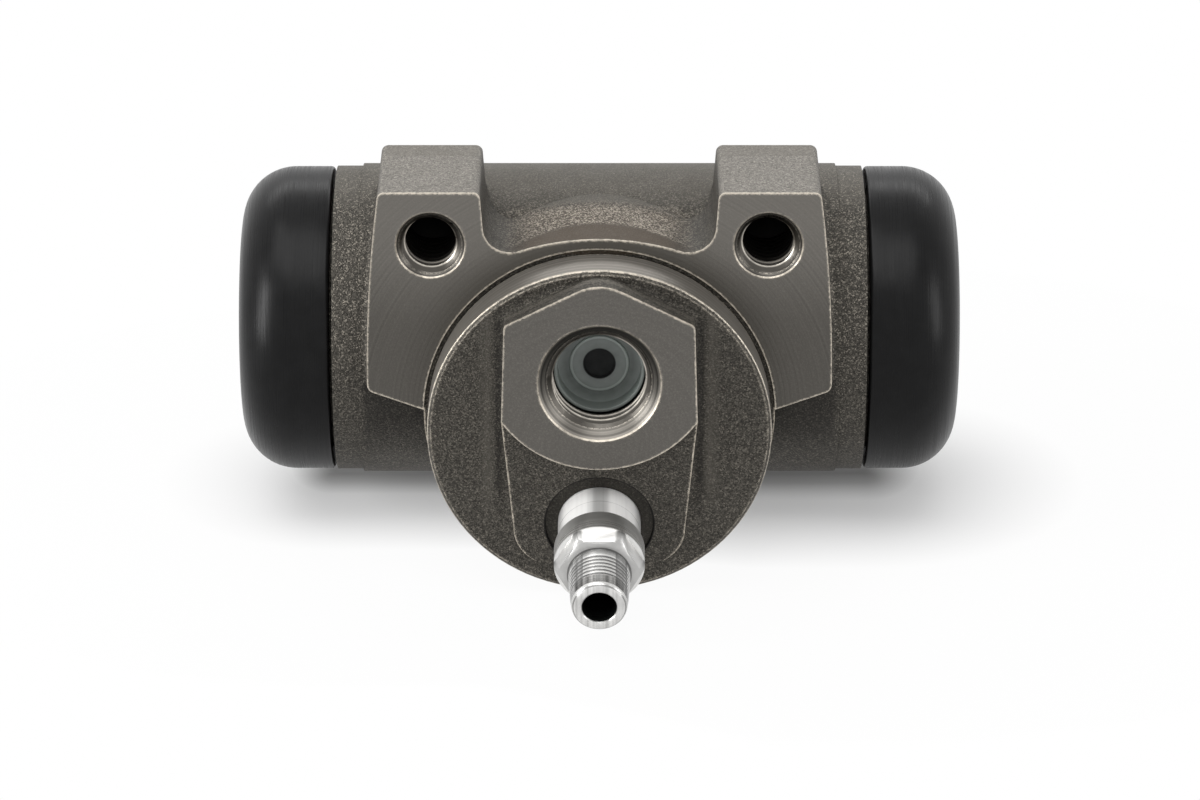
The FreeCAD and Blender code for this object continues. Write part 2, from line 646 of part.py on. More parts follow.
    # Bleed hole, turned about the tilted axis of the screw.
    bleed = new_sketch(body, "bleed_profile", "YZ_Plane", **BLEED_PLACE)
    hole = "shank_radius + screw_clearance"
    outline(
        bleed,
        [
            ("-spot_radius", "0"),
            ("-spot_radius", "-spot_radius"),
            ("spot_depth", "-spot_radius"),
            ("spot_depth", f"-({hole})"),
            ("bleed_depth", f"-({hole})"),
            (f"bleed_depth + ({hole} - bleed_passage) * {point}", "-bleed_passage"),
            ("bore_back + bleed_drop", "-bleed_passage"),
            ("bore_back + bleed_drop", "0"),
        ],
    )
    turn_off(body, "bleed_hole", bleed)

    # Mounting holes, tapped blind from the mounting face.
    for side, place in (("right", "bolt_half_spacing"), ("left", "-bolt_half_spacing")):
        bolt = new_sketch(body, f"{side}_bolt_profile", "YZ_Plane", up="bolt_rise", out=place)
        outline(
            bolt,
            [
                ("0", "0"),
                ("0", "-bolt_radius - bolt_countersink"),
                ("bolt_countersink", "-bolt_radius"),
                ("bolt_depth", "-bolt_radius"),
                (f"bolt_depth + bolt_radius * {point}", "0"),
            ],
        )
        turn_off(body, f"{side}_bolt_hole", bolt)
    return body


def on_bore_axis(name, turned):
    """A body whose own X axis lies on the bore's axis, turned half round for the left side."""
    body = new_body(name)
    turn = FreeCAD.Rotation(ALONG_Z, 180 if turned else 0)
    body.Placement = FreeCAD.Placement(FreeCAD.Vector(0, number("bore_back"), number("bore_rise")), turn)
    tie(body, "Placement.Base.y", "bore_back")
    tie(body, "Placement.Base.z", "bore_rise")
    return body


def build_piston(name, turned):
    """A piston: guided part, stem with a groove for the boot's lip, and a slot for the shoe's web."""
    body = on_bore_axis(name, turned)
    profile = new_sketch(body, "piston_profile", "XZ_Plane")
    guided = "bore_radius - piston_clearance"
    outline(
        profile,
        [
            ("piston_inner", "0"),
            ("stem_end", "0"),
            ("stem_end", "piston_chamfer - stem_radius"),
            ("stem_end - piston_chamfer", "-stem_radius"),
            ("lip_groove_end", "-stem_radius"),
            ("lip_groove_end", "-lip_groove_radius"),
            ("lip_groove_start", "-lip_groove_radius"),
            ("lip_groove_start", "-stem_radius"),
            ("piston_shoulder", "-stem_radius"),
            ("piston_shoulder", f"piston_chamfer - ({guided})"),
            ("piston_shoulder - piston_chamfer", f"-({guided})"),
            ("piston_inner + piston_chamfer", f"-({guided})"),
            ("piston_inner", f"piston_chamfer - ({guided})"),
        ],
    )
    turn_on(body, "piston", profile)
    slot = new_sketch(body, "slot_outline", "XY_Plane")
    outline(
        slot,
        [
            ("stem_end - slot_depth", "slot_half_width"),
            ("stem_end + cut_past", "slot_half_width"),
            ("stem_end + cut_past", "-slot_half_width"),
            ("stem_end - slot_depth", "-slot_half_width"),
        ],
    )
    pocket(body, "slot", slot, centred=True)
    return body


CUP_BACK = "piston_inner - cup_gap"
CUP_FLOOR = "piston_inner - cup_gap - cup_base"
LIP_SLOPE = "(bore_radius - cup_clearance - cup_lip - cup_hollow_radius) / (cup_length - cup_base)"
EXPANDER_BACK = CUP_FLOOR + " - expander_gap"


def build_cup(name, turned):
    """A rubber cup whose lip bears on the bore and opens towards the middle."""
    body = on_bore_axis(name, turned)
    profile = new_sketch(body, "cup_profile", "XZ_Plane")
    lip_end = CUP_BACK + " - cup_length"
    lip_radius = "bore_radius - cup_clearance"
    outline(
        profile,
        [
            (CUP_FLOOR, "0"),
            (CUP_BACK, "0"),
            (CUP_BACK, "cup_chamfer - cup_base_radius"),
            (CUP_BACK + " - cup_chamfer", "-cup_base_radius"),
            (lip_end + " + cup_lip_length", f"-({lip_radius})"),
            (lip_end, f"-({lip_radius})"),
            (lip_end, f"cup_lip - ({lip_radius})"),
            (CUP_FLOOR, "-cup_hollow_radius"),
        ],
    )
    turn_on(body, "cup", profile)
    return body


def build_expander(name, turned):
    """A pressed steel dish that spreads the cup's lip and seats the spring."""
    body = on_bore_axis(name, turned)
    profile = new_sketch(body, "expander_profile", "XZ_Plane")
    foot = "cup_hollow_radius - expander_side_gap"
    rim = f"{foot} + expander_flare * {LIP_SLOPE}"
    across_sheet = f"sheet_thickness / cos(atan({LIP_SLOPE}))"
    bend = f"{foot} + sheet_thickness * {LIP_SLOPE} - {across_sheet}"
    outline(
        profile,
        [
            (EXPANDER_BACK + " - sheet_thickness", "0"),
            (EXPANDER_BACK, "0"),
            (EXPANDER_BACK, f"-({foot})"),
            (EXPANDER_BACK + " - expander_flare", f"-({rim})"),
            (EXPANDER_BACK + " - expander_flare", f"{across_sheet} - ({rim})"),
            (EXPANDER_BACK + " - sheet_thickness", f"-({bend})"),
        ],
    )
    turn_on(body, "expander", profile)
    return body


LINKS_PER_TURN = 10


def build_spring():
    """The return spring, as mitred straight lengths of wire that follow the coil."""
    wire_radius = number("wire_radius")
    coil_radius = number("coil_radius")
    turns = number("spring_turns")
    end = number(EXPANDER_BACK + " - sheet_thickness - spring_gap - wire_radius")
    closed = 2 * wire_radius + number("closed_gap")
    open_pitch = (2 * end - 2 * closed) / (turns - 2)
    points = []
    for step in range(int(round(turns * LINKS_PER_TURN)) + 1):
        turn = step / LINKS_PER_TURN
        from_start = min(turn, 1) * closed
        from_end = max(turn - turns + 1, 0) * closed
        between = min(max(turn - 1, 0), turns - 2) * open_pitch
        angle = 2 * math.pi * turn
        points.append(
            FreeCAD.Vector(
                from_start + between + from_end - end,
                coil_radius * math.sin(angle),
                coil_radius * math.cos(angle),
            )
        )
    path = Part.makePolygon(points)
    section = Part.Wire([Part.makeCircle(wire_radius, points[0], points[1].sub(points[0]))])
    spring = document.addObject("Part::Feature", "return_spring")
    spring.Label = "return_spring"
    spring.Shape = path.makePipeShell([section], True, False, 1)
    spring.Placement = FreeCAD.Placement(
        FreeCAD.Vector(0, number("bore_back"), number("bore_rise")), FreeCAD.Rotation()
    )
    return spring


def build_boot(name, turned):
    """A rubber boot: bead in the casting's groove, rounded end and a lip in the piston's groove."""
    body = on_bore_axis(name, turned)
    profile = new_sketch(body, "boot_profile", "XZ_Plane")
    corner_start = "boot_end - boot_round"
    over_seat = "seat_radius + boot_fit"
    in_groove = "seat_groove_radius + boot_fit"
    in_lip_groove = "lip_groove_radius + boot_fit"
    lip_start = "lip_groove_start + boot_fit"
    lip_end = "lip_groove_end - boot_fit"
    outline(
        profile,
        [
            ("casting_half + boot_seam", "-boot_radius"),
            ("casting_half + boot_seam", f"-({over_seat})"),
            ("seat_groove_start + boot_fit", f"-({over_seat})"),
            ("seat_groove_start + boot_fit", f"-({in_groove})"),
            ("seat_groove_end - boot_fit", f"-({in_groove})"),
            ("seat_groove_end - boot_fit", f"-({over_seat})"),
            (corner_start, f"-({over_seat})"),
            (corner_start, "boot_wall - boot_radius", "boot_round - boot_wall", "right"),
            ("boot_end - boot_wall", "boot_round - boot_radius"),
            (lip_start, "boot_round - boot_radius"),
            (lip_start, f"-({in_lip_groove})"),
            (lip_end, f"-({in_lip_groove})"),
            (lip_end, "-boot_mouth"),
            ("boot_end", "-boot_mouth"),
            ("boot_end", "boot_round - boot_radius", "boot_round", "left"),
            (corner_start, "-boot_radius"),
        ],
    )
    turn_on(body, "boot", profile)
    return body


def build_bleed_screw():
    """The bleed screw: thread and nose in the casting, collar with six flats and hose nipple outside."""
    body = new_body("bleed_screw")
    turn = FreeCAD.Rotation(ALONG_X, number(BLEED_PLACE["turn"]))
    base = FreeCAD.Vector(0, number(BLEED_PLACE["across"]), number(BLEED_PLACE["up"]))
    body.Placement = FreeCAD.Placement(base, turn)
    tie(body, "Placement.Base.y", BLEED_PLACE["across"])
    tie(body, "Placement.Base.z", BLEED_PLACE["up"])
    tie(body, "Placement.Rotation.Angle", BLEED_PLACE["turn"])

    profile = new_sketch(body, "screw_profile", "YZ_Plane")
    slope = "tan((90 - drill_point / 2) * 1deg)"
    hole = "(shank_radius + screw_clearance)"
    back_off = "seat_gap / cos((90 - drill_point / 2) * 1deg)"
    nose_root = f"bleed_depth + ({hole} - nose_stem) * {slope} - {back_off}"
    nose_end = f"bleed_depth + ({hole} - nose_radius) * {slope} - {back_off}"
    thread_end = f"{nose_root} - nose_stem_length"
    cross_place = f"{nose_root} - nose_stem_length / 2"
    bore_end = f"{cross_place} + cross_hole + bore_run_on"
    outline(
        profile,
        [
            (bore_end, "0"),
            (nose_end, "0"),
            (nose_end, "-nose_radius"),
            (nose_root, "-nose_stem"),
            (thread_end, "-nose_stem"),
            (thread_end, "thread_chamfer - shank_radius"),
            (f"{thread_end} - thread_chamfer", "-shank_radius"),
            ("-shank_out", "-shank_radius"),
            ("-shank_out", "-collar_screw_radius"),
            ("-flats_end", "-collar_screw_radius"),
            ("-nipple_start", "-nipple_radius"),
            ("thread_chamfer - screw_out", "-tip_radius"),
            ("-screw_out", "thread_chamfer - tip_radius"),
            ("-screw_out", "-screw_bore"),
            (bore_end, "-screw_bore"),
        ],
    )
    turn_on(body, "screw", profile)

    flats = new_sketch(body, "flats_outline", "XZ_Plane", out="flats_start")
    circle_at(flats, "0", "0", "collar_screw_radius + cut_past")
    corner = "flats_half / cos(30 * 1deg)"
    corners = [(f"{corner} * cos({60 * k} * 1deg)", f"{corner} * sin({60 * k} * 1deg)") for k in range(6)]
    outline(flats, corners)
    pocket(body, "flats", flats, "nipple_start - flats_start", back=True)

    cross = new_sketch(body, "cross_outline", "XY_Plane")
    circle_at(cross, "0", cross_place, "cross_hole")
    pocket(body, "cross_hole", cross, centred=True)
    return body


def build_plug():
    """The soft plug in the pipe port: a shallow cup with a ring and a dimple, held by ribs."""
    body = new_body("port_plug")
    base = FreeCAD.Vector(0, -number("spigot_height + boss_height"), number("port_rise"))
    body.Placement = FreeCAD.Placement(base, FreeCAD.Rotation())
    tie(body, "Placement.Base.y", "-spigot_height - boss_height")
    tie(body, "Placement.Base.z", "port_rise")
    profile = new_sketch(body, "plug_profile", "YZ_Plane")
    floor = "plug_sink + plug_cup_depth"
    rib_radius = "port_radius - plug_gap"
    corners = [
        (f"{floor} - plug_ring_height + plug_dimple_depth", "0"),
        (f"{floor} - plug_ring_height + plug_dimple_depth", "-plug_dimple_radius"),
        (f"{floor} - plug_ring_height", "-plug_dimple_radius"),
        (f"{floor} - plug_ring_height", "-plug_ring_radius"),
        (floor, "-plug_ring_radius"),
        (floor, "plug_wall - plug_radius"),
        ("plug_sink", "plug_wall - plug_radius"),
        ("plug_sink", "-plug_radius"),
    ]
    for rib in range(3):
        start = f"plug_sink + rib_start + {rib} * rib_pitch"
        corners += [
            (start, "-plug_radius"),
            (start, f"-({rib_radius})"),
            (f"{start} + rib_width", f"-({rib_radius})"),
            (f"{start} + rib_width", "-plug_radius"),
        ]
    corners += [("plug_sink + plug_length", "-plug_radius"), ("plug_sink + plug_length", "0")]
    outline(profile, corners)
    turn_on(body, "plug", profile)
    return body


def build_all():
    """Build every sub-part of the cylinder."""
    parts = [build_housing(), build_spring(), build_bleed_screw(), build_plug()]
    for side, turned in (("right", False), ("left", True)):
        parts.append(build_piston(f"piston_{side}", turned))
        parts.append(build_cup(f"cup_seal_{side}", turned))
        parts.append(build_expander(f"cup_expander_{side}", turned))
        parts.append(build_boot(f"dust_boot_{side}", turned))
    return parts


def check_and_export(parts):
    """Make sure that every object and every sub-part is sound, then write one STEP file for each."""
    document.recompute()
    for thing in document.Objects:
        if "Invalid" in thing.State or "Error" in thing.State:
            raise RuntimeError(f"{thing.Name} is {thing.State}")
    os.makedirs("parts", exist_ok=True)
    for part in parts:
        if part.Shape.isNull() or not part.Shape.isValid() or len(part.Shape.Solids) != 1:
            raise RuntimeError(f"{part.Label} has no sound single solid")
        part.Shape.exportStep(f"parts/{part.Label}.step")


check_and_export(build_all())
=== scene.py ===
import json
import math
from functools import partial
from types import SimpleNamespace

import bpy
from bpy.props import FloatProperty, FloatVectorProperty, IntProperty, PointerProperty
from bpy.types import NodeSocket, Operator, Panel, PropertyGroup
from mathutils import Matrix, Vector


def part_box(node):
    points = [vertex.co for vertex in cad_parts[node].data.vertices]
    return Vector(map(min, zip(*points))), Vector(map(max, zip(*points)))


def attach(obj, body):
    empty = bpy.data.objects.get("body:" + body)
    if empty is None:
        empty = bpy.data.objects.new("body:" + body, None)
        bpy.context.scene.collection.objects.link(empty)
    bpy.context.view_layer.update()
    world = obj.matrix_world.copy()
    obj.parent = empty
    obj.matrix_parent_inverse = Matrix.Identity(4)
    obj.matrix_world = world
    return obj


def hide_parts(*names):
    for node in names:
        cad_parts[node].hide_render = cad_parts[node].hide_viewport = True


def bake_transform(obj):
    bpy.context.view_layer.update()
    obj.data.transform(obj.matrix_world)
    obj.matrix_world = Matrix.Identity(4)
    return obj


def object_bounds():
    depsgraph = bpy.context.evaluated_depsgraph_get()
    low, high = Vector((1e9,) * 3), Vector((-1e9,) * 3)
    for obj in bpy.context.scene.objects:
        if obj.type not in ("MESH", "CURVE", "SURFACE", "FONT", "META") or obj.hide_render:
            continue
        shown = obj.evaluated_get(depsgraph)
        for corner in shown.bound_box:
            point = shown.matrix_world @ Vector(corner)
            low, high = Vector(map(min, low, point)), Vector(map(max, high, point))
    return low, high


bl_info = {
    "name": "Wheel cylinder",
    "version": (1, 0, 0),
    "blender": (4, 5, 0),
    "location": "View3D > Sidebar > Wheel cylinder",
    "description": "Dresses the packed model of a drum brake's wheel cylinder",
    "category": "Object",
}

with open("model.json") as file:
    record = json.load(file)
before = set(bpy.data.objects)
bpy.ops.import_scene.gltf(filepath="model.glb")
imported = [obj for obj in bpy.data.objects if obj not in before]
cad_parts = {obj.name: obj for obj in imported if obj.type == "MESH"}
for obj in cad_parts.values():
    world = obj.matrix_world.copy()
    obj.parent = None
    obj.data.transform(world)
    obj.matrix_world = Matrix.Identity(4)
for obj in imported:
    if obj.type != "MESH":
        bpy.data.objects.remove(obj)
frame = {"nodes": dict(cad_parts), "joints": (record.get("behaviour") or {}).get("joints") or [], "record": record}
CAD_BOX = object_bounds()
MM = 0.001
WELD = MM / 1000
SIDES = (("right", 1), ("left", -1))
ALONG_BORE = (1, 0, 0)


def mount(name):
    """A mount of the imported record."""
    return next(m for m in frame["record"]["mounts"] if m["name"] == name)


def place_and_axis(name):
    """The place of a mount in metres and its axis."""
    return Vector(mount(name)["pos_m"]), Vector(mount(name)["axis"])


def bore_middle():
    """The place on the bore's axis that is in the middle of the cylinder."""
    low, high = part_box("dust_boot_right")
    return Vector((0, (low.y + high.y) / 2, (low.z + high.z) / 2))


BORE = bore_middle()
SCREW_TURN = next(j for j in frame["joints"] if j["name"] == "bleed_screw_turn")
BLEED = Vector(SCREW_TURN["pos_m"])
BLEED_OUT = Vector(SCREW_TURN["axis"]).normalized()
BLEED_ASIDE = BLEED_OUT.cross(Vector((1, 0, 0)))
PORT, PORT_OUT = place_and_axis("pipe_port")
LUG_HOLES, LUG_OUT = place_and_axis("mounting_holes")
HALF_SPACING = mount("mounting_holes")["dims"]["spacing_x_mm"] / 2

# Sizes of the housing in millimetres: X across, Y inwards from the mounting face, Z up from the spigot's centre
SPIGOT_RADIUS = 16.6
SPIGOT_HEIGHT = 4.75
BOSS_FACE = -7.6
BOSS_HALF = 9.45
BOSS_FOOT = -5.3
SPOT_RADIUS = 5.28
LUG_MOUTH = 3.4
LUG_MOUTH_DEPTH = 12.0
LUG_COUNTERSINK = 0.38
LUG_TOP = 22.8
PORT_MOUTH = 6.0
PORT_MOUTH_DEPTH = 6.5
PORT_COUNTERSINK = 0.98
# How far off a flat face or a turned wall a point may be and still count as on it
FLAT = 0.06
# Painted white reflection on the bleed screw's shank and flat, and painted shade in its bore
REFLECTED_WHITE = (1.0, 0.99, 0.97)
BORE_SHADE = (0.01, 0.012, 0.011)


def mm(name, default, description):
    """A size in millimetres."""
    return FloatProperty(name=name, default=default, description=f"{description} in millimetres", min=0)


def colour(name, default, what):
    return FloatVectorProperty(
        name=name, default=default, description=f"Colour of {what}", subtype="COLOR", size=3, min=0, max=1
    )


def count(name, default, description):
    return IntProperty(name=name, default=default, description=description, min=1)


def power(name, default, lamp):
    return FloatProperty(name=name, default=default, unit="POWER", description=f"Power of {lamp}", min=0)


class CastingLook(PropertyGroup):
    """Finish of the cast housing."""

    as_cast: colour("As cast", (0.062, 0.057, 0.0485), "the rough cast faces")
    machined: colour("Machined", (0.128, 0.12, 0.108), "the milled and turned faces")
    cut: colour("Cut", (0.17, 0.158, 0.14), "countersinks and threads")
    # Worn is the bright colour of worn edges and specks, and also the painted highlight on the grains of the ledge
    worn: colour("Worn", (0.62, 0.56, 0.47), "the bright edges and specks")
    # Shadowed is painted shade: the dark insides of the holes and threads, the wall of the spot face, and the creases
    # beside the flange and the boss
    shadowed: colour("Shadowed", (0.012, 0.011, 0.01), "the oily insides of the holes")
    grain: mm("Grain", 0.11, "Size of the sand grain")
    edge: mm("Edge", 0.22, "Width of the worn edges")
    metallic: FloatProperty(
        name="Metallic", default=0.75, description="How metallic the casting looks", subtype="FACTOR", min=0, max=1
    )


class ThreadShape(PropertyGroup):
    """Sizes of the threads that are cut into the casting."""

    pitch: mm("Pitch", 1.0, "Distance between turns")
    depth: mm("Depth", 0.54, "Height of the thread's ridge")
    lug_radius: mm("Lug radius", 3.0, "Outer radius of the lugs' threads")
    lug_turns: count("Lug turns", 9, "Turns of the lugs' threads")
    port_radius: mm("Port radius", 5.0, "Outer radius of the port's thread")
    port_turns: count("Port turns", 4, "Turns above the port's plug")


class BootShape(PropertyGroup):
    """Sizes of the dust boots and colour of their rubber. Places are counted from the middle of the cylinder."""

    rubber: colour("Rubber", (0.0052, 0.0052, 0.0054), "the rubber")
    wall: mm("Wall", 1.95, "Thickness of the rubber")
    end_round: mm("End round", 5.2, "Rounding of the outer end")
    mouth: mm("Mouth", 9.0, "Radius of the boot's mouth")
    lip: mm("Lip", 7.05, "Inner radius of the lip")
    lip_start: mm("Lip start", 32.05, "Place of the lip")
    lip_end: mm("Lip end", 33.45, "Place of the lip's outer side")
    seat: mm("Seat", 12.95, "Inner radius over the casting's end")
    bead: mm("Bead", 12.15, "Inner radius of the bead")
    bead_start: mm("Bead start", 27.15, "Place of the bead")
    bead_end: mm("Bead end", 29.05, "Place of the bead's outer side")
    mouth_edge: mm("Mouth edge", 0.35, "Rounding of the edge at the casting")


class ScrewShape(PropertyGroup):
    """Sizes of the bleed screw and colour of its plating. Places are counted outwards from the pad."""

    plating: colour("Plating", (0.74, 0.735, 0.72), "the plated steel")
    shank: mm("Shank", 4.0, "Radius of the shank")
    collar: mm("Collar", 4.36, "Radius of the collar")
    collar_start: mm("Collar start", 4.45, "Place of the collar")
    flats_start: mm("Flats start", 7.1, "Place of the flats")
    flats_half: mm("Flats half", 3.92, "Axis to a flat's start")
    flats_end: mm("Flats end", 3.5, "Axis to a flat's end")
    dome_start: mm("Dome start", 7.2, "Place where the head starts to round off")
    dome_drop: mm("Dome drop", 1.0, "How much narrower the rounded head ends")
    nipple_start: mm("Nipple start", 8.8, "Place of the nipple's root")
    nipple: mm("Nipple", 3.0, "Radius of the nipple's root")
    tip: mm("Tip", 2.68, "Radius of the nipple's tip")
    length: mm("Length", 14.5, "Place of the tip")
    bore: mm("Bore", 1.6, "Radius of the screw's bore")
    grooves: count("Grooves", 6, "Fine grooves round the nipple")
    groove_start: mm("Groove start", 9.9, "Place of the first groove")
    groove_pitch: mm("Groove pitch", 0.53, "Distance between the grooves")
    groove_depth: mm("Groove depth", 0.06, "Depth of the grooves")
    stem: mm("Stem", 2.9, "Radius of the stem behind the thread")
    thread_end: mm("Thread end", 7.53, "Depth of the thread's end below the pad")
    stem_end: mm("Stem end", 10.13, "Depth of the nose's root below the pad")
    nose_end: mm("Nose end", 11.33, "Depth of the nose's end below the pad")
    nose: mm("Nose", 0.9, "Radius of the nose's end")


class PlugShape(PropertyGroup):
    """Sizes of the port's plug and colour of its plastic."""

    plastic: colour("Plastic", (0.13, 0.145, 0.136), "the plug")
    # Painted shade in the plug's dimple and in the gap round it
    recess_shade: colour("Hollow", (0.008, 0.009, 0.009), "the dimple and of the gap round the plug")
    sink: mm("Sink", 3.6, "Port's face to the plug's rim")
    length: mm("Length", 5.6, "Length of the plug")
    radius: mm("Radius", 4.42, "Outside of the plug")
    wall: mm("Wall", 0.36, "Wall of the plug's cup")
    cup: mm("Cup", 1.8, "Depth of the plug's cup")
    ring: mm("Ring", 2.85, "Radius of the ring on the floor")
    ring_height: mm("Ring height", 0.16, "Height of the ring")
    dimple: mm("Dimple", 1.5, "Radius of the dimple")
    dimple_depth: mm("Dimple depth", 0.5, "Depth of the dimple")
    ribs: count("Ribs", 3, "Ribs that hold the plug in the thread")
    rib: mm("Rib", 4.98, "Outside of the ribs")
    rib_start: mm("Rib start", 0.9, "Plug's rim to the first rib")
    rib_pitch: mm("Rib pitch", 1.5, "Distance between the ribs")
    rib_width: mm("Rib width", 0.5, "Width of a rib")


class SpringShape(PropertyGroup):
    """Sizes of the return spring and colours of the metal and rubber in the bore."""

    steel: colour("Steel", (0.36, 0.36, 0.37), "the spring and the pressed steel")
    alloy: colour("Alloy", (0.62, 0.63, 0.64), "the pistons")
    rubber: colour("Rubber", (0.016, 0.016, 0.017), "the cup seals")
    wire: mm("Wire", 0.5, "Radius of the wire")
    coil: mm("Coil", 5.0, "Mean radius of the coil")
    open_turns: count("Open turns", 3, "Open turns on each side")
    closed_pitch: mm("Closed pitch", 1.06, "Pitch of the closed end turn")


class StageLook(PropertyGroup):
    """Camera, floor and light."""

    elevation: FloatProperty(
        name="Elevation", default=math.radians(22.406), subtype="ANGLE", description="Camera above the horizon"
    )
    distance: FloatProperty(name="Distance", default=0.5357, unit="LENGTH", description="Camera to its target")
    target: FloatVectorProperty(
        name="Target", default=(0.000062, 0.01287, -0.003823), unit="LENGTH", description="Where the camera looks"
    )
    lens: FloatProperty(name="Lens", default=161.48, unit="CAMERA", description="Focal length on a 36 mm sensor")
    world: FloatProperty(name="World", default=0.3, description="Strength of the plain world light", min=0)
    top: power("Top light", 7.0, "the top light")
    back: power("Back light", 1.2, "the back light")
    side: power("Side lights", 1.6, "one of the side lights, on average")


# Nodes: a value is a number or another node's output, and a plain colour is three numbers. Places are in millimetres.


def set_inputs(node, inputs):
    """Give a node's inputs their values."""
    for key, value in inputs.items():
        socket = node.inputs[key]
        if isinstance(value, NodeSocket):
            node.id_data.links.new(value, socket)
        elif socket.type == "RGBA":
            socket.default_value = (*value, 1)
        else:
            socket.default_value = value


def add_node(tree, kind, inputs=None, **settings):
    """A shader node with its settings and its inputs."""
    node = tree.nodes.new(f"ShaderNode{kind}")
    for key, value in settings.items():
        setattr(node, key, value)
    set_inputs(node, inputs or {})
    return node


def tree_of(values):
    """The tree of the first value that is another node's output."""
    return next(value for value in values if isinstance(value, NodeSocket)).id_data


def calculate(operation, *values, clamp=False):
    inputs = dict(enumerate(values))
    return add_node(tree_of(values), "Math", inputs, operation=operation, use_clamp=clamp).outputs[0]


def product(value, *others):
    for other in others:
        value = calculate("MULTIPLY", value, other)
    return value


def greatest(value, *others):
    for other in others:
        value = calculate("MAXIMUM", value, other)
    return value


# 1 where a value is over or under a limit, or is near a centre, within its reach
over = partial(calculate, "GREATER_THAN")
under = partial(calculate, "LESS_THAN")
near = partial(calculate, "COMPARE")
# What is left when the second value is taken from the first
less = partial(calculate, "SUBTRACT")
inverse = partial(calculate, "SUBTRACT", 1.0)
# A value times a factor, added to a third value
add_share = partial(calculate, "MULTIPLY_ADD")


def ramp(value, low, high, to_low=0.0, to_high=1.0):
    """A value stretched so that low gives to_low and high gives to_high, and held there beyond."""
    inputs = {"Value": value, "From Min": low, "From Max": high, "To Min": to_low, "To Max": to_high}
    return add_node(value.id_data, "MapRange", inputs).outputs["Result"]


def vector_math(operation, *values):
    node = add_node(tree_of(values), "VectorMath", dict(enumerate(values)), operation=operation)
    return node.outputs["Value" if operation in ("DOT_PRODUCT", "LENGTH") else "Vector"]


def split(vector):
    return add_node(vector.id_data, "SeparateXYZ", {0: vector}).outputs


def combine(*values):
    return add_node(tree_of(values), "CombineXYZ", dict(enumerate(values))).outputs[0]


def noise(place, scale, detail=2.0, roughness=0.5):
    inputs = {"Vector": place, "Scale": scale, "Detail": detail, "Roughness": roughness}
    return add_node(place.id_data, "TexNoise", inputs).outputs["Fac"]


def paint(base, *coats):
    """A base colour under coats of colour, each of which has its mask."""
    for mask, coat in coats:
        base = add_node(mask.id_data, "Mix", {0: mask, 6: base, 7: coat}, data_type="RGBA").outputs[2]
    return base


def times(factor, plain):
    """A plain colour made lighter or darker."""
    return tuple(factor * part for part in plain)


def distance_from(across, up, centre_across=0.0, centre_up=0.0):
    """Distance of a place from an axis along Y."""
    aside, above = less(across, centre_across), less(up, centre_up)
    return calculate("SQRT", add_share(aside, aside, product(above, above)))


def distance_from_screw(place):
    """Distance of a place from the bleed screw's tilted axis."""
    from_pad = vector_math("SUBTRACT", place, tuple(BLEED / MM))
    return vector_math("LENGTH", vector_math("CROSS_PRODUCT", from_pad, tuple(BLEED_OUT)))


def find_node(tree, kind):
    return next(node for node in tree.nodes if node.type == kind)


def new_material(name):
    """A material with its surface shader, and the place on the piece in millimetres."""
    material = bpy.data.materials.new(name)
    material.use_nodes = True
    coordinates = add_node(material.node_tree, "TexCoord").outputs["Object"]
    place = vector_math("MULTIPLY", coordinates, (1 / MM, 1 / MM, 1 / MM))
    return material, find_node(material.node_tree, "BSDF_PRINCIPLED"), place


def add_bump(surface, height, distance, strength=1.0, **others):
    """Relief on a surface from a height."""
    inputs = {"Height": height, "Distance": distance, "Strength": strength, **others}
    bump = add_node(surface.id_data, "Bump", inputs)
    set_inputs(surface, {"Normal": bump.outputs["Normal"]})


def new_group(name, size, results):
    """A node group that takes a place and a size, and gives the named results."""
    group = bpy.data.node_groups.new(name, "ShaderNodeTree")
    group.interface.new_socket("Place", in_out="INPUT", socket_type="NodeSocketVector")
    group.interface.new_socket(size, in_out="INPUT", socket_type="NodeSocketFloat")
    for label in results:
        group.interface.new_socket(label, in_out="OUTPUT", socket_type="NodeSocketFloat")
    given = group.nodes.new("NodeGroupInput").outputs
    return group, given["Place"], given[size], group.nodes.new("NodeGroupOutput")


def use_group(group, place, size):
    return add_node(place.id_data, "Group", {0: place, 1: size}, node_tree=group).outputs


def grain_group():
    """Grit, specks, patches and height of a sand-cast face, from the size of its grain."""
    group, place, size, result = new_group("Cast grain", "Grain", ("Grit", "Specks", "Patches", "Height"))
    scale = calculate("DIVIDE", 1.0, size)
    grains = add_node(group, "TexVoronoi", {"Vector": place, "Scale": scale}).outputs
    grit = add_node(group, "SeparateColor", {"Color": grains["Color"]}).outputs[0]
    clumps = noise(place, product(scale, 0.45), 3.0, 0.6)
    set_inputs(result, {
        "Grit": grit,
        "Specks": product(ramp(grit, 0.68, 0.9), ramp(clumps, 0.4, 0.62)),
        "Patches": ramp(noise(place, 0.3, 4.0), 0.35, 0.65),
        "Height": add_share(clumps, 1.6, add_share(grains["Distance"], -0.9, 1.0)),
    })
    return group


def worn_edge_group():
    """Where an outer edge has worn bright, and how that breaks up along the edge."""
    group, place, width, result = new_group("Worn edges", "Width", ("Wear", "Breaks"))
    within = {"samples": 4, "inside": True, "only_local": True}
    thin = add_node(group, "AmbientOcclusion", {"Distance": width}, **within).outputs["AO"]
    breaks = ramp(noise(place, 2.6, 6.0, 0.75), 0.36, 0.62)
    depth = less(inverse(thin), add_share(breaks, -0.25, 0.3))
    set_inputs(result, {"Wear": calculate("MULTIPLY", depth, 5.0, clamp=True), "Breaks": breaks})
    return group


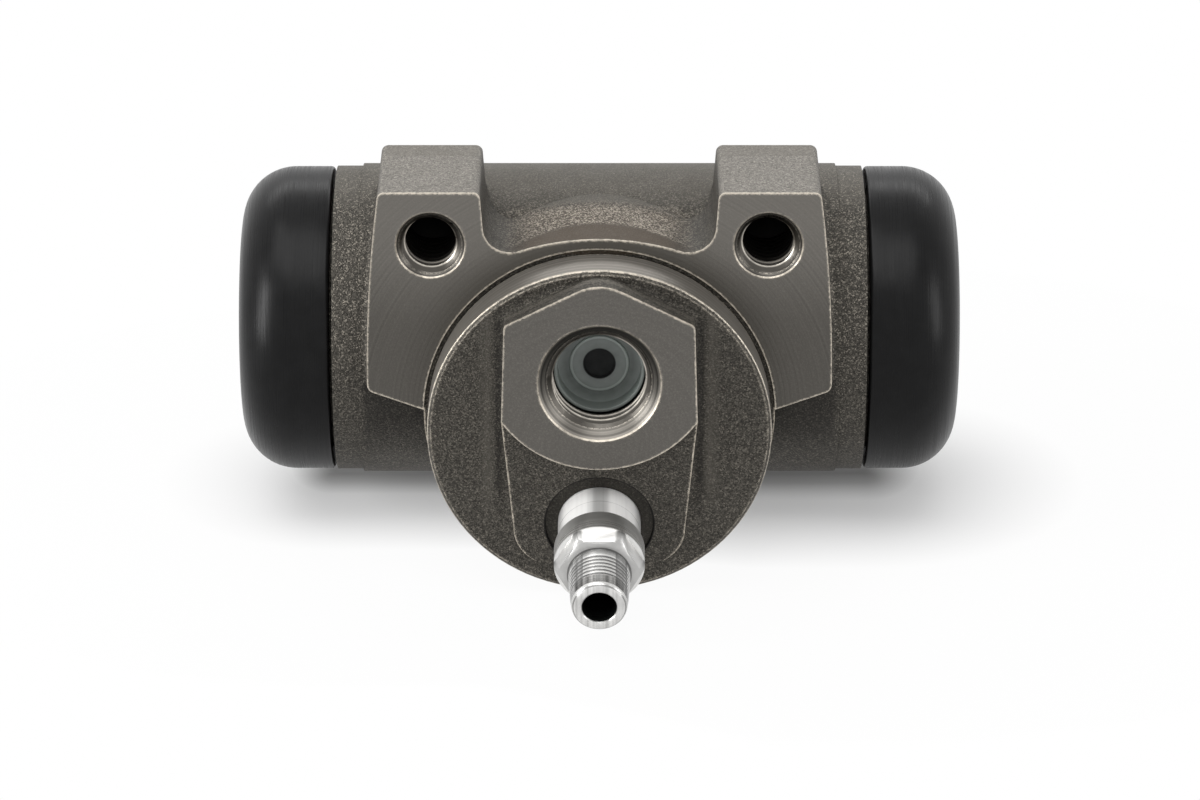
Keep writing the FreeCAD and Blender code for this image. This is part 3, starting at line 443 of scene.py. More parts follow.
def casting_places(surface, place):
    """Where a point of the casting is: its distances from the features, and a mask for each kind of face."""
    at = SimpleNamespace()
    at.across, at.out, at.up = split(place)
    at.beside = calculate("ABSOLUTE", at.across)
    at.facing = add_node(surface.id_data, "NewGeometry").outputs["Normal"]
    at.facing_out, at.facing_up = split(at.facing)[1:]
    at.from_centre = distance_from(at.across, at.up)
    at.from_lug_hole = distance_from(at.beside, at.up, HALF_SPACING, LUG_HOLES.z / MM)
    at.from_port = distance_from(at.across, at.up, 0.0, PORT.z / MM)
    at.from_screw = distance_from_screw(place)

    on_faces = greatest(near(at.out, 0.0, FLAT), near(at.out, BOSS_FACE, FLAT))
    milled = product(under(at.facing_out, -0.9), on_faces)
    half = SPIGOT_HEIGHT / 2
    at.wall = product(near(at.from_centre, SPIGOT_RADIUS, FLAT), near(at.out, -half, half))
    at.smooth = greatest(milled, at.wall)
    at.not_milled = inverse(milled)
    at.in_lug_hole = product(under(at.from_lug_hole, LUG_MOUTH), under(at.out, LUG_MOUTH_DEPTH))
    in_front = under(at.out, PORT_MOUTH_DEPTH)
    at.in_port = product(under(at.from_port, PORT_MOUTH), in_front)
    at.cut = product(greatest(at.in_lug_hole, at.in_port), at.not_milled)
    at.spot = product(under(at.from_screw, SPOT_RADIUS - 0.1), at.not_milled, in_front)
    at.boss = under(at.out, -7.0)
    return at


def rough_colour(at, look, grain):
    """The sand-cast faces: grit, lug tops worn by rubbing and lightened by painted top light, the rusty ledge with
    painted highlights on its grains, painted shadows beside flange and boss, and painted highlights round the boss
    and on the barrel's top.
    """
    # Lug tops painted lighter: partly bare metal worn by rubbing, partly painted light from above
    lug_tops = product(ramp(at.up, LUG_TOP - 0.6, LUG_TOP - 0.1), at.not_milled)
    beside_lugs = product(ramp(at.beside, 20.5, 21.5), ramp(at.up, 0.0, 8.0))

    arc_of_ledge = add_share(calculate("POWER", at.beside, 2.0), 0.04, at.out)
    between_lugs = ramp(at.beside, 9.4, 6.5)
    ledge = product(ramp(arc_of_ledge, 4.1, 4.9), ramp(at.out, 11.4, 8.5), between_lugs, over(at.up, 15.5))
    # The bright grains on the ledge are a painted highlight, where the upward ledge catches the top light
    crests = product(ledge, ramp(grain["Grit"], 0.58, 0.8))
    under_ledge = product(ramp(arc_of_ledge, 4.9, 4.1), ramp(at.out, 0.0, 0.5), over(at.up, 16.4), between_lugs)

    # Painted shadow on the barrel along the flange's sides
    flange_side = ramp(at.up, 2.4, 22.8, 22.5, 21.2)
    flange_shadow = product(
        ramp(less(at.beside, flange_side), 0.8, 0.2),
        ramp(at.facing_out, -0.75, -0.95, 0.0, 1.0),
        over(at.out, 0.5),
    )

    # Painted shade in the crease at the boss's foot, and a painted highlight on the fillet just beyond it
    from_boss = less(at.beside, BOSS_HALF)
    disc = product(near(at.out, -SPIGOT_HEIGHT, 0.1), ramp(at.up, -9.0, -5.0), ramp(at.up, 13.0, 11.5))
    boss_foot_shade = product(disc, ramp(from_boss, -0.4, 0.1), ramp(from_boss, 0.75, 0.35))
    fillet_highlight = product(disc, ramp(from_boss, 0.5, 1.1), ramp(from_boss, 2.3, 1.4))
    # Painted highlight where the boss's upper wall faces the top light
    boss_wall_highlight = product(
        ramp(at.facing_up, 0.6, 0.85), near(at.out, -5.75, 0.42), ramp(grain["Grit"], 0.2, 0.8, 0.2, 0.8)
    )
    # Painted top light on the upward-facing top of the barrel
    lit_barrel_top = product(ramp(at.facing_up, 0.9, 0.98), over(at.out, 10.5), at.not_milled)

    rusty = tuple(factor * part for factor, part in zip((1.15, 0.92, 0.72), look.as_cast))
    return paint(
        times(0.4, look.as_cast),
        (grain["Grit"], times(1.5, look.as_cast)),
        (product(grain["Specks"], add_share(beside_lugs, 0.2, 0.17)), look.worn),
        (product(lug_tops, ramp(grain["Height"], 1.2, 2.0, 0.2, 1.0)), times(3.2, look.machined)),
        (product(ledge, 0.6), rusty),
        (product(crests, 0.55), look.worn),
        (product(under_ledge, 0.8), rusty),
        (product(flange_shadow, 0.6), look.shadowed),
        (product(boss_foot_shade, 0.5), look.shadowed),
        (product(fillet_highlight, 0.35), times(2.1, look.as_cast)),
        (boss_wall_highlight, times(2.6, look.as_cast)),
        (product(lit_barrel_top, 0.4), times(2.2, look.as_cast)),
    )


def smooth_colour(at, look, grain, rings):
    """The milled faces and the turned wall: tool rings, mottling, painted top light high up, painted shade low down
    and round the spigot, and the wall painted lighter as if lit from above.
    """
    tooled = ramp(rings, 0.35, 0.65)
    mottled = add_share(ramp(grain["Height"], 1.25, 1.95), 0.55, product(at.boss, 0.26))
    streaks = add_share(tooled, add_share(at.boss, -0.4, 0.5), mottled)
    flange = over(at.out, -1.0)
    # Painted shade on the flange face round the spigot
    spigot_shade = product(ramp(at.from_centre, 20.5, 17.2), ramp(at.up, 3.0, 14.0), flange)
    return paint(
        times(0.66, look.machined),
        (streaks, times(1.26, look.machined)),
        # Painted light on the upper flange face, and painted shade low on it
        (product(ramp(at.up, 8.0, 20.0), flange, 0.5), times(1.5, look.machined)),
        (product(ramp(at.up, 16.0, 10.0), flange, 0.4), look.as_cast),
        (product(spigot_shade, 0.65), look.as_cast),
        # The turned wall painted lighter, standing in for light from above
        (at.wall, paint(times(1.35, look.machined), (tooled, times(2.3, look.machined)))),
    )


def cut_colour(at, look):
    """The countersinks, with rings round the nearest hole, and painted light: lighter low down, darker high up."""
    from_hole = combine(calculate("MINIMUM", at.from_port, at.from_lug_hole))
    rings = ramp(noise(from_hole, 3.0, 3.0), 0.42, 0.6)
    # Painted light and shade: the low countersinks lighter, the high ones at the lugs darker
    shade = calculate("ADD", ramp(at.up, 2.5, 9.5, 0.35, -0.3), rings, clamp=True)
    return paint(times(0.22, look.cut), (shade, times(1.12, look.cut)))


def edge_wear(at, edges, grain):
    """Bright wear on the outer edges, away from the bleed screw and the back."""
    rim = product(
        near(at.from_centre, SPIGOT_RADIUS - 0.04, 0.07),
        near(at.out, 0.3 - SPIGOT_HEIGHT, 0.3),
        ramp(at.up, -8.0, 10.0, 0.4, 0.9),
    )
    beside_faces = greatest(near(at.out, 0.15, 0.15), near(at.out, BOSS_FACE + 0.13, 0.13))
    outside = greatest(over(at.from_centre, SPIGOT_RADIUS + 0.7), at.boss)
    strip = product(beside_faces, outside, less(at.not_milled, at.cut, clamp=True))
    ragged = product(
        greatest(rim, strip),
        ramp(edges["Breaks"], 0.1, 0.6, 0.1, 0.95),
        ramp(grain["Grit"], 0.1, 0.5, 0.55, 1.0),
    )
    away = product(over(at.from_screw, SPOT_RADIUS + 0.5), under(at.out, 0.8))
    return product(greatest(edges["Wear"], ragged), away)


def deep_shadow(at):
    """The insides of the holes and the wall of the bleed screw's spot face."""
    in_lug = product(at.in_lug_hole, ramp(at.out, 0.9, 2.2))
    in_port = product(at.in_port, ramp(at.out, BOSS_FACE + 1.2, BOSS_FACE + 3.2, 0, 0.85))
    round_spot = product(near(at.from_screw, SPOT_RADIUS, 0.1), under(at.out, 0.0), 0.95)
    return greatest(in_lug, in_port, round_spot)


def casting_material(look):
    """Sand-cast iron with milled and turned faces, told apart by where they are on the casting."""
    material, surface, place = new_material("cast_iron_housing")
    at = casting_places(surface, place)
    grain = use_group(grain_group(), place, look.grain)
    edges = use_group(worn_edge_group(), place, look.edge * MM)
    rings = noise(combine(at.from_centre, at.out), 4.0, 4.0)
    lip = greatest(near(at.from_port, PORT_MOUTH - 0.1, 0.07), near(at.from_lug_hole, LUG_MOUTH - 0.08, 0.07))
    base = paint(
        rough_colour(at, look, grain),
        (at.smooth, smooth_colour(at, look, grain, rings)),
        # The spot face round the bleed screw painted darker: painted shade, as it faces a little downwards, away from
        # the top light
        (product(at.spot, 0.7), times(0.4, look.as_cast)),
        (at.cut, cut_colour(at, look)),
        (product(lip, add_share(edges["Breaks"], 0.5, 0.3), at.cut), look.worn),
        (edge_wear(at, edges, grain), look.worn),
        (deep_shadow(at), look.shadowed),
    )
    dull = add_share(at.cut, -0.2, add_share(at.smooth, -0.12, 0.56))
    dull = add_share(grain["Patches"], 0.05, dull)
    set_inputs(surface, {"Base Color": base, "Roughness": dull, "Metallic": look.metallic})

    relief = add_share(at.cut, -0.9, add_share(at.smooth, -0.85, 1.0), clamp=True)
    marks = product(rings, less(at.smooth, at.boss, clamp=True))
    height = add_share(marks, 0.7, product(grain["Height"], relief, inverse(at.spot)))
    tree = surface.id_data
    filleted = add_node(tree, "Bevel", {"Radius": 1.1 * MM}, samples=4).outputs["Normal"]
    foot = product(
        near(at.out, BOSS_FOOT, 0.75), under(at.from_centre, SPIGOT_RADIUS - 1), over(at.from_screw, SPOT_RADIUS + 1)
    )
    normal = add_node(tree, "Mix", {0: foot, 4: at.facing, 5: filleted}, data_type="VECTOR").outputs[1]
    add_bump(surface, height, 0.035 * MM, Normal=normal)
    return material


def thread_material(name, look, mouth, reach, holes, crest):
    """Cut threads, their crests worn bright and given a painted highlight at the hole's mouth, with painted shade
    between them and further in.
    """
    material, surface, place = new_material(name)
    across, out, up = split(place)
    # Painted shade that deepens into the hole
    shaded = ramp(out, mouth + 0.3 * reach, mouth + reach, 0, 0.98)
    stains = noise(place, 1.3, 4.0)
    from_axis = distance_from(calculate("ABSOLUTE", across), up, abs(holes.x) / MM, holes.z / MM)
    # Crests partly worn bright and partly a painted highlight
    rubbed_and_lit = product(ramp(from_axis, crest + 0.16, crest + 0.06), ramp(stains, 0.3, 0.7, 0.55, 1.0))
    shine = ramp(stains, 0.3, 0.7, 0.25, 0.42)
    set_inputs(surface, {
        "Base Color": paint(times(0.45, look.cut), (rubbed_and_lit, times(3.4, look.cut)), (shaded, look.shadowed)),
        "Roughness": add_share(shaded, 0.6, shine, clamp=True),
        "Metallic": 1.0,
    })
    add_bump(surface, stains, 0.01 * MM)
    return material


def rubber_material(shape):
    """Moulded rubber with faint mould lines round the boot."""
    material, surface, place = new_material("boot_rubber")
    lines = noise(vector_math("MULTIPLY", place, (9.0, 0.12, 0.12)), 1.0, 3.0)
    haze = ramp(noise(place, 0.6, 5.0), 0.35, 0.75)
    set_inputs(surface, {
        "Base Color": paint(shape.rubber, (haze, times(1.5, shape.rubber))),
        "Roughness": ramp(lines, 0.3, 0.7, 0.24, 0.38),
        "Specular IOR Level": 0.13,
    })
    add_bump(surface, lines, 0.02 * MM, 0.6)
    return material


def moulded(name, tint, roughness, plug=None):
    """Moulded plastic or rubber with a slight unevenness. A plug has lighter rings round its dimple, with painted
    shade in the dimple and in the gap round the plug.
    """
    material, surface, place = new_material(name)
    haze = noise(place, 1.2, 4.0)
    base = paint(tint, (ramp(haze, 0.35, 0.7), times(1.25, tint)))
    shine = ramp(haze, 0.3, 0.7, roughness - 0.06, roughness + 0.06)
    if plug:
        across, _, up = split(place)
        from_port = distance_from(across, up, 0.0, PORT.z / MM)
        ring = product(ramp(from_port, 1.5, 2.3), ramp(from_port, plug.ring + 0.05, plug.ring - 0.05), 0.22)
        line = product(near(from_port, plug.ring - 0.11, 0.14), 0.75)
        rim = product(ramp(from_port, 3.3, 4.0), 0.35)
        # Painted shade in the dimple and in the gap between the plug and the thread
        dimple = ramp(from_port, plug.dimple + 0.14, plug.dimple + 0.02)
        gap = ramp(from_port, plug.radius - 0.12, plug.radius - 0.02)
        base = paint(base, (greatest(ring, line, rim), times(3.0, tint)), (dimple, plug.recess_shade), (gap, plug.recess_shade))
        shine = add_share(dimple, 0.5, shine)
    set_inputs(surface, {"Base Color": base, "Roughness": shine})
    add_bump(surface, haze, 0.02 * MM)
    return material


def turned_metal(name, tint, roughness, centre, axis, marks):
    """Turned metal with fine tool marks round an axis."""
    material, surface, place = new_material(name)
    from_axis = vector_math("SUBTRACT", place, tuple(centre / MM))
    along = vector_math("DOT_PRODUCT", from_axis, tuple(axis))
    tool = noise(combine(along, vector_math("LENGTH", from_axis)), marks)
    base = paint(tint, (ramp(noise(place, 0.5, 4.0), 0.4, 0.7), times(0.82, tint)))
    shine = ramp(tool, 0.3, 0.7, roughness * 0.8, roughness * 1.25)
    set_inputs(surface, {"Base Color": base, "Roughness": shine, "Metallic": 1.0})
    add_bump(surface, tool, 0.006 * MM, 0.7)
    return material, surface, base, from_axis, along


def plated_material(shape):
    """Plated steel with painted reflections and shade: light and dark streaks along the shank, a bright flat with
    dark corners, dark grooves and bands round the nipple, and painted shade in the bore.
    """
    made = turned_metal("plated_steel", shape.plating, 0.3, BLEED, BLEED_OUT, 2.5)
    # along counts outwards from the pad, beside from the screw's middle plane and radius from its axis
    material, surface, base, from_axis, along = made
    across = split(from_axis)[0]
    aside = vector_math("DOT_PRODUCT", from_axis, tuple(BLEED_ASIDE))
    beside = calculate("ABSOLUTE", across)
    radius = distance_from(across, aside)
    # The streaks stand in for the light and dark that the shank reflects round its turn: painted reflection
    streaks = noise(combine(across), 2.2, 4.0)
    streaky_reflection = ramp(streaks, 0.42, 0.68)

    shank_end = shape.collar_start - 0.05
    shank = under(along, shank_end)
    middle = add_share(streaky_reflection, 0.12, ramp(beside, 0.4, 1.25, 0.62, 0.0))
    flanks = ramp(beside, 3.3, 3.8, 0.0, 0.5)
    collar = product(near(along, 5.75, 1.3), over(radius, 4.25), ramp(beside, 1.6, 3.9, 0.78, 0.25))

    off_flat = calculate("COSINE", product(calculate("ARCTAN2", across, aside), 6.0))
    head = product(near(along, 8.0, 0.85), over(radius, 3.05))
    on_flats = product(near(along, 7.75, 0.75), ramp(radius, 4.35, 4.28))
    flat = product(on_flats, ramp(off_flat, -0.85, -0.6), ramp(beside, 2.0, 2.5, 1.0, 0.15))
    corner = product(ramp(along, 8.0, 7.3), ramp(off_flat, -0.7, -0.92, 0.0, 0.6), over(along, 7.06))

    slim = under(radius, shape.nipple + 0.1)
    root = product(near(along, 9.15, 0.45), slim, ramp(along, 9.5, 8.9, 0.35, 0.85))
    bands = product(near(along, 11.4, 2.5), slim, near(beside, 2.1, 0.55), ramp(streaks, 0.35, 0.6, 0.25, 0.8))
    turns = calculate("DIVIDE", less(along, shape.groove_start - 0.04), shape.groove_pitch)
    groove = product(under(calculate("FRACT", turns), 0.46), near(along, 11.35, 1.55))
    smooth_end = product(ramp(streaks, 0.4, 0.6, 0.15, 0.8), near(along, shape.length - 1.1, 0.5))
    outline = product(near(radius, 2.5, 0.06), over(along, shape.length - 0.7), 0.7)
    patchy = product(over(along, shape.length - 0.4), streaky_reflection, 0.45)

    # These coats are painted light: the white shank and flat are painted reflections, the dark ones painted
    # reflections of dark surroundings and painted shade at the collar, corners, root, grooves, tip and bore
    dark = times(0.16, shape.plating)
    base = paint(
        base,
        (shank, REFLECTED_WHITE),
        (product(shank, greatest(middle, flanks)), dark),
        (collar, times(0.2, (0.74, 0.72, 0.67))),
        (product(head, 0.42), dark),
        (flat, REFLECTED_WHITE),
        (corner, dark),
        (root, dark),
        (bands, dark),
        (product(groove, 0.92), dark),
        (smooth_end, dark),
        (greatest(outline, patchy), dark),
        (ramp(radius, shape.bore + 0.12, shape.bore + 0.02), BORE_SHADE),
    )
    facing = add_node(surface.id_data, "NewGeometry").outputs["Normal"]
    round_axis = vector_math("CROSS_PRODUCT", tuple(BLEED_OUT), from_axis)
    set_inputs(surface, {
        "Base Color": base,
        "Metallic": ramp(along, shank_end, shank_end + 0.1, 0.1, 0.75),
        "Anisotropic": 0.75,
        "Tangent": vector_math("CROSS_PRODUCT", facing, round_axis),
    })
    return material


def dress(piece, material):
    """Give a piece one material in all its slots."""
    if not piece.material_slots:
        piece.data.materials.append(material)
    for slot in piece.material_slots:
        slot.material = material


# Modelling


def set_mode(mode):
    bpy.ops.object.mode_set(mode=mode)


def select_mesh(action="SELECT"):
    bpy.ops.mesh.select_all(action=action)


def clear_selection():
    if bpy.context.object and bpy.context.object.mode != "OBJECT":
        set_mode("OBJECT")
    bpy.ops.object.select_all(action="DESELECT")


def apply_transform():
    bpy.ops.object.transform_apply(location=True, rotation=True, scale=True)


def face_outwards():
    """Turn all faces of the edited piece outwards and leave edit mode."""
    select_mesh()
    bpy.ops.mesh.normals_make_consistent(inside=False)
    set_mode("OBJECT")


def close_ends():
    """Fill the open ends of the edited piece."""
    select_mesh("DESELECT")
    bpy.ops.mesh.select_non_manifold()
    bpy.ops.mesh.edge_face_add()
    face_outwards()


def draw_chain(name, points):
    """An edge chain through the points: one vertex, extruded from point to point. Left in edit mode."""
    clear_selection()
    bpy.ops.mesh.primitive_plane_add(size=MM, location=points[0])
    piece = bpy.context.object
    piece.name = name
    apply_transform()
    set_mode("EDIT")
    select_mesh()
    bpy.ops.mesh.merge(type="CENTER")
    for start, end in zip(points, points[1:]):
        bpy.ops.mesh.extrude_region_move(TRANSFORM_OT_translate={"value": end - start})
    select_mesh()
    bpy.ops.mesh.remove_doubles(threshold=WELD)
    return piece


def spin_chain(name, points, centre, axis, steps):
    """A turned piece: the chain of points spun round an axis, merged and closed."""
    piece = draw_chain(name, points)
    bpy.ops.mesh.spin(steps=steps, dupli=False, angle=2 * math.pi, center=centre, axis=axis)
    select_mesh()
    bpy.ops.mesh.remove_doubles(threshold=WELD)
    face_outwards()
    return piece


def apply_modifier(piece, kind, **settings):
    """Add a modifier with its settings and apply it."""
    bpy.context.view_layer.objects.active = piece
    modifier = piece.modifiers.new(kind.title(), kind)
    for key, value in settings.items():
        setattr(modifier, key, value)
    bpy.ops.object.modifier_apply(modifier=modifier.name)


def cut_away(piece, tool):
    """Take a tool's shape away from a piece, and delete the tool."""
    apply_modifier(piece, "BOOLEAN", operation="DIFFERENCE", object=tool, solver="EXACT")
    bpy.data.objects.remove(tool)


def wind(piece, axis, turns, advance, steps):
    """Wind the piece's section round an axis through its origin."""
    apply_modifier(
        piece,
        "SCREW",
        axis=axis,
        angle=2 * math.pi,
        iterations=turns,
        screw_offset=advance * MM,
        steps=steps,
        render_steps=steps,
    )


def soften(piece, width, segments, angle):
    """Round a piece's sharp edges and smooth its shading."""
    limit = {"limit_method": "ANGLE", "angle_limit": math.radians(angle)}
    apply_modifier(piece, "BEVEL", width=width * MM, segments=segments, **limit)
    shade(piece)


def shade(piece, angle=38):
    clear_selection()
    piece.select_set(True)
    bpy.context.view_layer.objects.active = piece
    bpy.ops.object.shade_smooth_by_angle(angle=math.radians(angle))


def join_pieces(piece, other):
    """Join another piece into the first one."""
    clear_selection()
    other.select_set(True)
    piece.select_set(True)
    bpy.context.view_layer.objects.active = piece
    bpy.ops.object.join()


def arc(centre, start, end, steps):
    """Points (along, radius) on an arc from start to end round a centre."""
    first = math.atan2(start[1] - centre[1], start[0] - centre[0])
    last = math.atan2(end[1] - centre[1], end[0] - centre[0])
    radius = math.hypot(start[0] - centre[0], start[1] - centre[1])
    turn = (last - first + math.pi) % (2 * math.pi) - math.pi
    angles = [first + turn * step / steps for step in range(steps + 1)]
    return [(centre[0] + radius * math.cos(angle), centre[1] + radius * math.sin(angle)) for angle in angles]


def wind_thread(name, finish, shape, radius, turns, centre, out, countersink):
    """An internal thread: one helical ridge on a hole's wall, cut back by the hole's countersink."""
    half_root = shape.pitch * 7 / 16
    half_crest = shape.pitch / 8
    root = radius + 0.05
    crest = radius - shape.depth
    section = [(-half_root, root), (-half_crest, crest), (half_crest, crest), (half_root, root), (-half_root, root)]
    ridge = draw_chain(name, [(Vector((0, 0, across)) - out * along) * MM for along, across in section])
    set_mode("OBJECT")
    wind(ridge, "Y", turns, shape.pitch, 48)
    set_mode("EDIT")
    close_ends()
    ridge.location = centre + out * shape.pitch * 0.4 * MM
    apply_transform()

    mouth = radius + countersink
    clear_selection()
    bpy.ops.mesh.primitive_cone_add(
        vertices=96,
        radius1=(mouth + 1) * MM,
        radius2=0.5 * MM,
        depth=(mouth + 0.5) * MM,
        rotation=(-math.pi / 2, 0, 0),
        location=centre - out * ((mouth + 0.5) / 2 - 1) * MM,
    )
    apply_transform()
    cut_away(ridge, bpy.context.object)
    shade(ridge, 30)
    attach(ridge, "cylinder")
    dress(ridge, finish)


class WHEELCYL_OT_casting(Operator):
    """Give the casting its cast and machined finishes, and cut its threads"""

    bl_idname = "wheelcyl.casting"
    bl_label = "Casting"

    def execute(self, context):
        look = context.scene.wheelcyl_casting
        threads = context.scene.wheelcyl_threads
        dress(frame["nodes"]["housing"], casting_material(look))
        aside = Vector((HALF_SPACING * MM, 0, 0))
        lug_radius, port_radius = threads.lug_radius, threads.port_radius
        lug_look = (look, 0.0, 3.0, LUG_HOLES + aside, lug_radius - threads.depth)
        port_look = (look, BOSS_FACE, 7.0, PORT, port_radius - threads.depth)
        lug = (thread_material("lug_thread_cut", *lug_look), threads, lug_radius, threads.lug_turns)
        port = (thread_material("port_thread_cut", *port_look), threads, port_radius, threads.port_turns)
        for side, sign in SIDES:
            wind_thread(f"lug_thread_{side}", *lug, LUG_HOLES + sign * aside, LUG_OUT, LUG_COUNTERSINK)
        wind_thread("port_thread", *port, PORT, PORT_OUT, PORT_COUNTERSINK)
        return {"FINISHED"}


class WHEELCYL_OT_boots(Operator):
    """Mould the rubber dust boots over both ends"""

    bl_idname = "wheelcyl.boots"
    bl_label = "Dust boots"

    def execute(self, context):
        shape = context.scene.wheelcyl_boots
        rubber = rubber_material(shape)
        for side, sign in SIDES:
            profile = self.profile(shape, *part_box(f"dust_boot_{side}"))
            points = [BORE + Vector((sign * along * MM, 0, across * MM)) for along, across in profile]
            boot = spin_chain(f"dust_boot_{side}_rubber", points, BORE, ALONG_BORE, 128)
            soften(boot, 0.15, 2, 50)
            dress(boot, rubber)
            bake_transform(boot)
            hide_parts(f"dust_boot_{side}")
        return {"FINISHED"}

    def profile(self, shape, low, high):
        """Half of the boot's section (along, radius), from the box of its node."""
        start, end = sorted((abs(low.x) / MM, abs(high.x) / MM))
        radius = (high.z - low.z) / 2 / MM
        edge = shape.mouth_edge
        corner = end - shape.end_round
        centre = (corner, radius - shape.end_round)
        inner = shape.end_round - shape.wall
        return [
            (start, radius - edge),
            (start, shape.seat),
            (shape.bead_start, shape.seat),
            (shape.bead_start, shape.bead),
            (shape.bead_end, shape.bead),
            (shape.bead_end, shape.seat),
            (corner, shape.seat),
            *arc(centre, (corner, centre[1] + inner), (corner + inner, centre[1]), 10),
            (shape.lip_start, centre[1]),
            (shape.lip_start, shape.lip),
            (shape.lip_end, shape.lip),
            (shape.lip_end, shape.mouth),
            (end, shape.mouth),
            *arc(centre, (end, centre[1]), (corner, radius), 18),
            (start + 3.0, radius),
            (start + 1.5, radius),
            *arc((start + edge, radius - edge), (start + edge, radius), (start, radius - edge), 4),
        ]


def screw_place(along, across):
    """A place by its distance outwards from the bleed pad and from the screw's axis."""
    return BLEED + (BLEED_OUT * along + BLEED_ASIDE * across) * MM


def stand_cylinder(name, sides, radius, start, end, end_radius):
    """A cylinder or taper round the bleed screw's axis from start to end."""
    clear_selection()
    bpy.ops.mesh.primitive_cone_add(
        vertices=sides,
        radius1=radius * MM,
        radius2=end_radius * MM,
        depth=(end - start) * MM,
        location=screw_place((start + end) / 2, 0),
        rotation=BLEED_OUT.to_track_quat("Z", "X").to_euler(),
    )
    cylinder = bpy.context.object
    cylinder.name = name
    apply_transform()
    return cylinder


class WHEELCYL_OT_bleed_screw(Operator):
    """Turn the bleed screw with its collar, flats and grooved nipple"""

    bl_idname = "wheelcyl.bleed_screw"
    bl_label = "Bleed screw"

    def execute(self, context):
        shape = context.scene.wheelcyl_screw
        screw = self.turn("bleed_screw_plated", self.body_profile(shape))
        wide = shape.collar + 1
        ring = stand_cylinder("flats_tool", 96, wide, shape.flats_start + 0.01, shape.nipple_start - 0.01, wide)
        corner, narrow = (half / math.cos(math.pi / 6) for half in (shape.flats_half, shape.flats_end))
        cut_away(ring, stand_cylinder("hexagon_tool", 6, corner, shape.flats_start, shape.nipple_start, narrow))
        cut_away(screw, ring)
        soften(screw, 0.09, 3, 34)
        nipple = self.turn("hose_nipple", self.nipple_profile(shape))
        shade(nipple)
        join_pieces(screw, nipple)
        dress(screw, plated_material(shape))
        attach(screw, "bleed_screw")
        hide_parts("bleed_screw")
        return {"FINISHED"}

    def body_profile(self, shape):
        """Half of the section (along, radius) from the nose to the rounded head."""
        run, drop = shape.nipple_start - shape.dome_start, shape.dome_drop
        dome = (run**2 + drop**2) / (2 * drop)
        dome_end = (shape.nipple_start, shape.collar - drop)
        thread_edge = 0.4
        blind_end = -shape.thread_end - 1.5
        return [
            (-shape.nose_end, 0),
            (-shape.nose_end, shape.nose),
            (-shape.stem_end, shape.stem),
            (-shape.thread_end, shape.stem),
            (-shape.thread_end, shape.shank - thread_edge),
            (thread_edge - shape.thread_end, shape.shank),
            (shape.collar_start, shape.shank),
            (shape.collar_start, shape.collar),
            *arc((shape.dome_start, shape.collar - dome), (shape.dome_start, shape.collar), dome_end, 10),
            (shape.nipple_start, shape.nipple - 0.1),
            (shape.nipple_start, shape.bore),
            (blind_end, shape.bore),
            (blind_end, 0),
        ]

    def nipple_profile(self, shape):
        """Half of the section (along, radius) of the tapered nipple with its grooves and rounded tip."""
        slope = (shape.nipple - shape.tip) / (shape.length - shape.nipple_start)
        foot = shape.nipple_start - 0.6
        profile = [(foot, shape.bore), (foot, shape.nipple)]
        for groove in range(shape.grooves):
            at = shape.groove_start + groove * shape.groove_pitch
            radius = shape.nipple - slope * (at - shape.nipple_start)
            deep = radius - shape.groove_depth
            profile += [(at, radius), (at + 0.08, deep), (at + 0.14, deep), (at + 0.22, radius)]
        outer, inner = 0.62, 0.34
        end = shape.length
        return [
            *profile,
            *arc((end - outer, shape.tip - outer), (end - outer, shape.tip), (end, shape.tip - outer), 10),
            *arc((end - inner, shape.bore + inner), (end, shape.bore + inner), (end - inner, shape.bore), 6),
            (foot, shape.bore),
        ]

    def turn(self, name, profile):
        """A piece turned round the screw's axis from its profile (along, radius)."""
        return spin_chain(name, [screw_place(*place) for place in profile], BLEED, BLEED_OUT, 96)


class WHEELCYL_OT_plug(Operator):
    """Mould the plug that sits in the pipe port"""

    bl_idname = "wheelcyl.plug"
    bl_label = "Port plug"

    def execute(self, context):
        shape = context.scene.wheelcyl_plug
        floor = shape.sink + shape.cup
        raised = floor - shape.ring_height
        profile = [
            (raised + shape.dimple_depth, 0),
            (raised + shape.dimple_depth, shape.dimple),
            (raised, shape.dimple),
            (raised, shape.ring),
            (floor, shape.ring),
            (floor, shape.radius - shape.wall),
            (shape.sink, shape.radius - shape.wall),
            (shape.sink, shape.radius),
        ]
        for rib in range(shape.ribs):
            at = shape.sink + shape.rib_start + rib * shape.rib_pitch
            end = at + shape.rib_width
            profile += [(at, shape.radius), (at, shape.rib), (end, shape.rib), (end, shape.radius)]
        profile += [(shape.sink + shape.length, shape.radius), (shape.sink + shape.length, 0)]
        points = [PORT + Vector((0, along * MM, across * MM)) for along, across in profile]
        plug = spin_chain("port_plug_moulded", points, PORT, (0, 1, 0), 96)
        soften(plug, 0.08, 3, 40)
        dress(plug, moulded("plug_plastic", shape.plastic, 0.38, shape))
        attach(plug, "cylinder")
        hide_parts("port_plug")
        return {"FINISHED"}


def wind_coil(name, start, end, turns, shape):
    """Round wire wound round the bore's axis from start to end."""
    clear_selection()
    bpy.ops.mesh.primitive_circle_add(vertices=12, radius=shape.wire * MM, rotation=(math.pi / 2, 0, 0))
    coil = bpy.context.object
    coil.name = name
    apply_transform()
    set_mode("EDIT")
    select_mesh()
    bpy.ops.transform.translate(value=(0, 0, shape.coil * MM))
    set_mode("OBJECT")
    wind(coil, "X", turns, (end - start) / turns, 36)
    coil.location = BORE + Vector((start * MM, 0, 0))
    apply_transform()
    return coil


